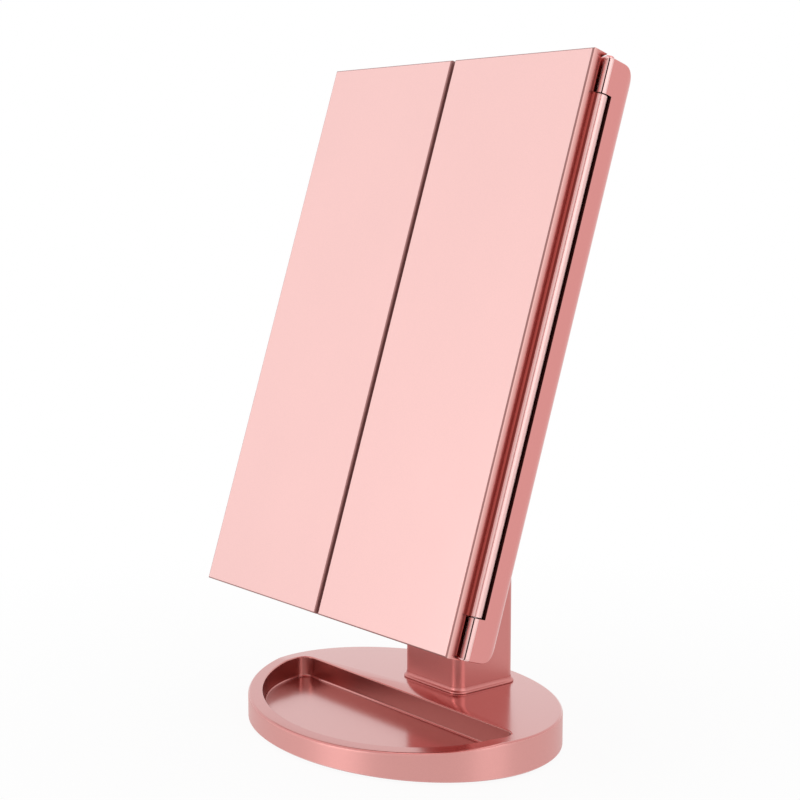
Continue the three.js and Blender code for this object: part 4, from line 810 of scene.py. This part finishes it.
def addScrews():
    for x, v in casing["screws"]:
        spotInWell = Vector((x, head["depth"] - casing["wellDepth"], v)) * mm
        addScrew("casing_screw", panelFrame @ Matrix.Translation(spotInWell), "head", casing["screwRadius"])
    for i in range(1, 5):
        screw = copyNode(f"neck_screw_{i}", steel, "head", "steel", neck["screwEdge"])
        middle = sum((v.co for v in screw.data.vertices), Vector()) / len(screw.data.vertices)
        x, _, z = (panelFrame.inverted() @ middle) / mm
        cutCross(screw, crosses["neck"], panelFrame, x, z)
    for x, y in coverScrews():
        below = Matrix.Translation(Vector((x, y, coverScrew["height"])) * mm)
        addScrew("cover_screw", below @ Matrix.Rotation(-quarter, 4, "X"), "base", coverScrew["radius"])


touchMark = {"front": 10.25, "up": 30.0, "radius": 4.2, "inner": 3.5, "sunk": 0.04, "proud": 0.2,
             "steps": 64}


def addTouchMark():  # etched ring over the touch sensor of the centre mirror
    front = touchMark["front"]
    where = (0, touchMark["up"], panelFrame, touchMark["steps"])
    low, high = front - touchMark["sunk"], front + touchMark["proud"]
    ring = rod("touch_mark", "y", touchMark["radius"], low, high, *where)
    inner = rod("inner", "y", touchMark["inner"], front - overlap, front + overlap, *where)
    carve(ring, [inner])
    dress(ring, frostedLens, "head", "frosted")


addScrews()
addTouchMark()
print("hinge, screws and touch mark ready")


# The other pieces keep their CAD shape, with edges rounded as moulded, pressed or ground ones are
plainPieces = [  # solid, finish, body, slot, rounding of its edges
    ("battery_door", rosePost, "door", "rose_gloss", 0.3),
    ("base_cover", darkPlastic, "base", "dark_plastic", 0.2),
    ("left_wing_frame", whitePlastic, "left_wing", "white_plastic", 0.2),
    ("right_wing_frame", whitePlastic, "right_wing", "white_plastic", 0.2),
    ("centre_mirror", mirrorGlass, "head", "mirror", 0.4),
    ("right_mirror", mirrorGlass, "right_wing", "mirror", 0.4),
    ("left_mirror_upper", mirrorGlass, "left_wing", "mirror", 0),
    ("left_mirror_lower", mirrorGlass, "left_wing", "mirror", 0),
    ("light_window_left", frostedLens, "head", "frosted", 0.3),
    ("light_window_right", frostedLens, "head", "frosted", 0.3),
    ("light_window_top", frostedLens, "head", "frosted", 0.3),
]
frontFrame = {"edge": 0.2, "paleFrom": hingeX + 0.3}


def addFrontFrame():  # its rolled sides are painted as pale as the barrels, as lit
    piece = copyNode("front_frame", roseSide, "head", "rose_satin", frontFrame["edge"])
    paintHead(piece, (roseFrontLit,), lambda x, depth, v: int(abs(x) > frontFrame["paleFrom"]))


def paintInnerPieces():
    for entry in frame["record"]["subparts"]:
        node = nodes[entry["node"]]
        node.data.materials.clear()
        node.data.materials.append(slotFinishes[entry["material_slot"]])


for piece in plainPieces:
    copyNode(*piece)
addFrontFrame()
paintInnerPieces()
print("other pieces ready")


# Floor, background and lamps
stage = {"floorSize": 12.0, "floorZ": -0.0002, "floorColour": (0.93, 0.93, 0.93), "floorRoughness": 0.9,
         "glow": 0.93, "shadowNear": 0.1, "shadowFar": 0.4, "ambient": 0.6,
         "ambientColour": (1, 0.99, 0.98), "aim": (0, 0, 0.12)}


def seenWhite(tree):  # 1 for rays from the camera, a gloss or a glass
    path = tree.nodes.new("ShaderNodeLightPath")
    first, both = tree.nodes.new("ShaderNodeMath"), tree.nodes.new("ShaderNodeMath")
    for node in (first, both):
        node.operation = "MAXIMUM"
    tree.links.new(path.outputs["Is Camera Ray"], first.inputs[0])
    tree.links.new(path.outputs["Is Glossy Ray"], first.inputs[1])
    tree.links.new(first.outputs[0], both.inputs[0])
    tree.links.new(path.outputs["Is Transmission Ray"], both.inputs[1])
    return both.outputs[0]


def addWorld():
    world = bpy.data.worlds.new("studio")
    bpy.context.scene.world = world
    world.use_nodes = True
    tree = world.node_tree
    light = tree.nodes["Background"]
    white = tree.nodes.new("ShaderNodeBackground")
    light.inputs["Strength"].default_value = stage["ambient"]
    light.inputs["Color"].default_value = (*stage["ambientColour"], 1)
    white.inputs["Color"].default_value = (1, 1, 1, 1)
    mix = tree.nodes.new("ShaderNodeMixShader")
    tree.links.new(seenWhite(tree), mix.inputs["Fac"])
    tree.links.new(light.outputs[0], mix.inputs[1])
    tree.links.new(white.outputs[0], mix.inputs[2])
    tree.links.new(mix.outputs[0], tree.nodes["World Output"].inputs["Surface"])


def floorFinish():  # glows white to the camera and in reflections; near the object a faint shadow shows
    material = bpy.data.materials.new("paleFloor")
    material.use_nodes = True
    tree = material.node_tree
    shader = tree.nodes["Principled BSDF"]
    shader.inputs["Base Color"].default_value = (*stage["floorColour"], 1)
    shader.inputs["Roughness"].default_value = stage["floorRoughness"]
    glow = tree.nodes.new("ShaderNodeEmission")
    mix = tree.nodes.new("ShaderNodeMixShader")
    place = tree.nodes.new("ShaderNodeTexCoord").outputs["Object"]
    away = tree.nodes.new("ShaderNodeVectorMath")
    away.operation = "LENGTH"
    tree.links.new(place, away.inputs[0])
    fade = tree.nodes.new("ShaderNodeMapRange")
    fade.inputs["From Min"].default_value = stage["shadowNear"]
    fade.inputs["From Max"].default_value = stage["shadowFar"]
    fade.inputs["To Min"].default_value = stage["glow"]
    tree.links.new(away.outputs["Value"], fade.inputs["Value"])
    share = tree.nodes.new("ShaderNodeMath")
    share.operation = "MULTIPLY"
    tree.links.new(fade.outputs["Result"], share.inputs[1])
    tree.links.new(seenWhite(tree), share.inputs[0])
    tree.links.new(share.outputs[0], mix.inputs["Fac"])
    tree.links.new(shader.outputs[0], mix.inputs[1])
    tree.links.new(glow.outputs[0], mix.inputs[2])
    tree.links.new(mix.outputs[0], tree.nodes["Material Output"].inputs["Surface"])
    return material


def addFloor():
    size = stage["floorSize"] / 2
    bm = bmesh.new()
    bm.faces.new([bm.verts.new((x, y, stage["floorZ"])) for x, y in rect(-size, -size, size, size)])
    mesh = bpy.data.meshes.new("floor")
    bm.to_mesh(mesh)
    bm.free()
    mesh.materials.append(floorFinish())
    addObject("floor", mesh)


def around(azimuth, distance, height):  # azimuth 0 is straight in front, 90 on the right
    a = radians(azimuth)
    return distance * sin(a), -distance * cos(a), height


lamps = {  # softboxes: where they stand, their size and their brightness
    "frontLeft": {"place": around(-53, 1.4, 0.75), "size": (0.9, 1.3), "glow": 0.2},
    "top": {"place": (0.1, -0.1, 1.7), "size": (1.4, 1.4), "glow": 0.5},
    "front": {"place": around(-15, 1.1, 0.26), "size": (0.5, 0.42), "glow": 2.7},
    "right": {"place": around(91, 1.1, 0.35), "size": (0.65, 0.9), "glow": 0.9},
}


def addLamps():
    for name, lamp in lamps.items():
        light = bpy.data.lights.new(name, "AREA")
        light.shape = "RECTANGLE"
        light.size, light.size_y = lamp["size"]
        light.energy = lamp["glow"] * pi * light.size * light.size_y
        softbox = addObject(name, light)
        softbox.location = lamp["place"]
        towards = Vector(stage["aim"]) - Vector(lamp["place"])
        softbox.rotation_euler = towards.to_track_quat("-Z", "Y").to_euler()


addWorld()
addFloor()
addLamps()
bpy.context.scene.view_settings.view_transform = "Standard"
print("stage ready")
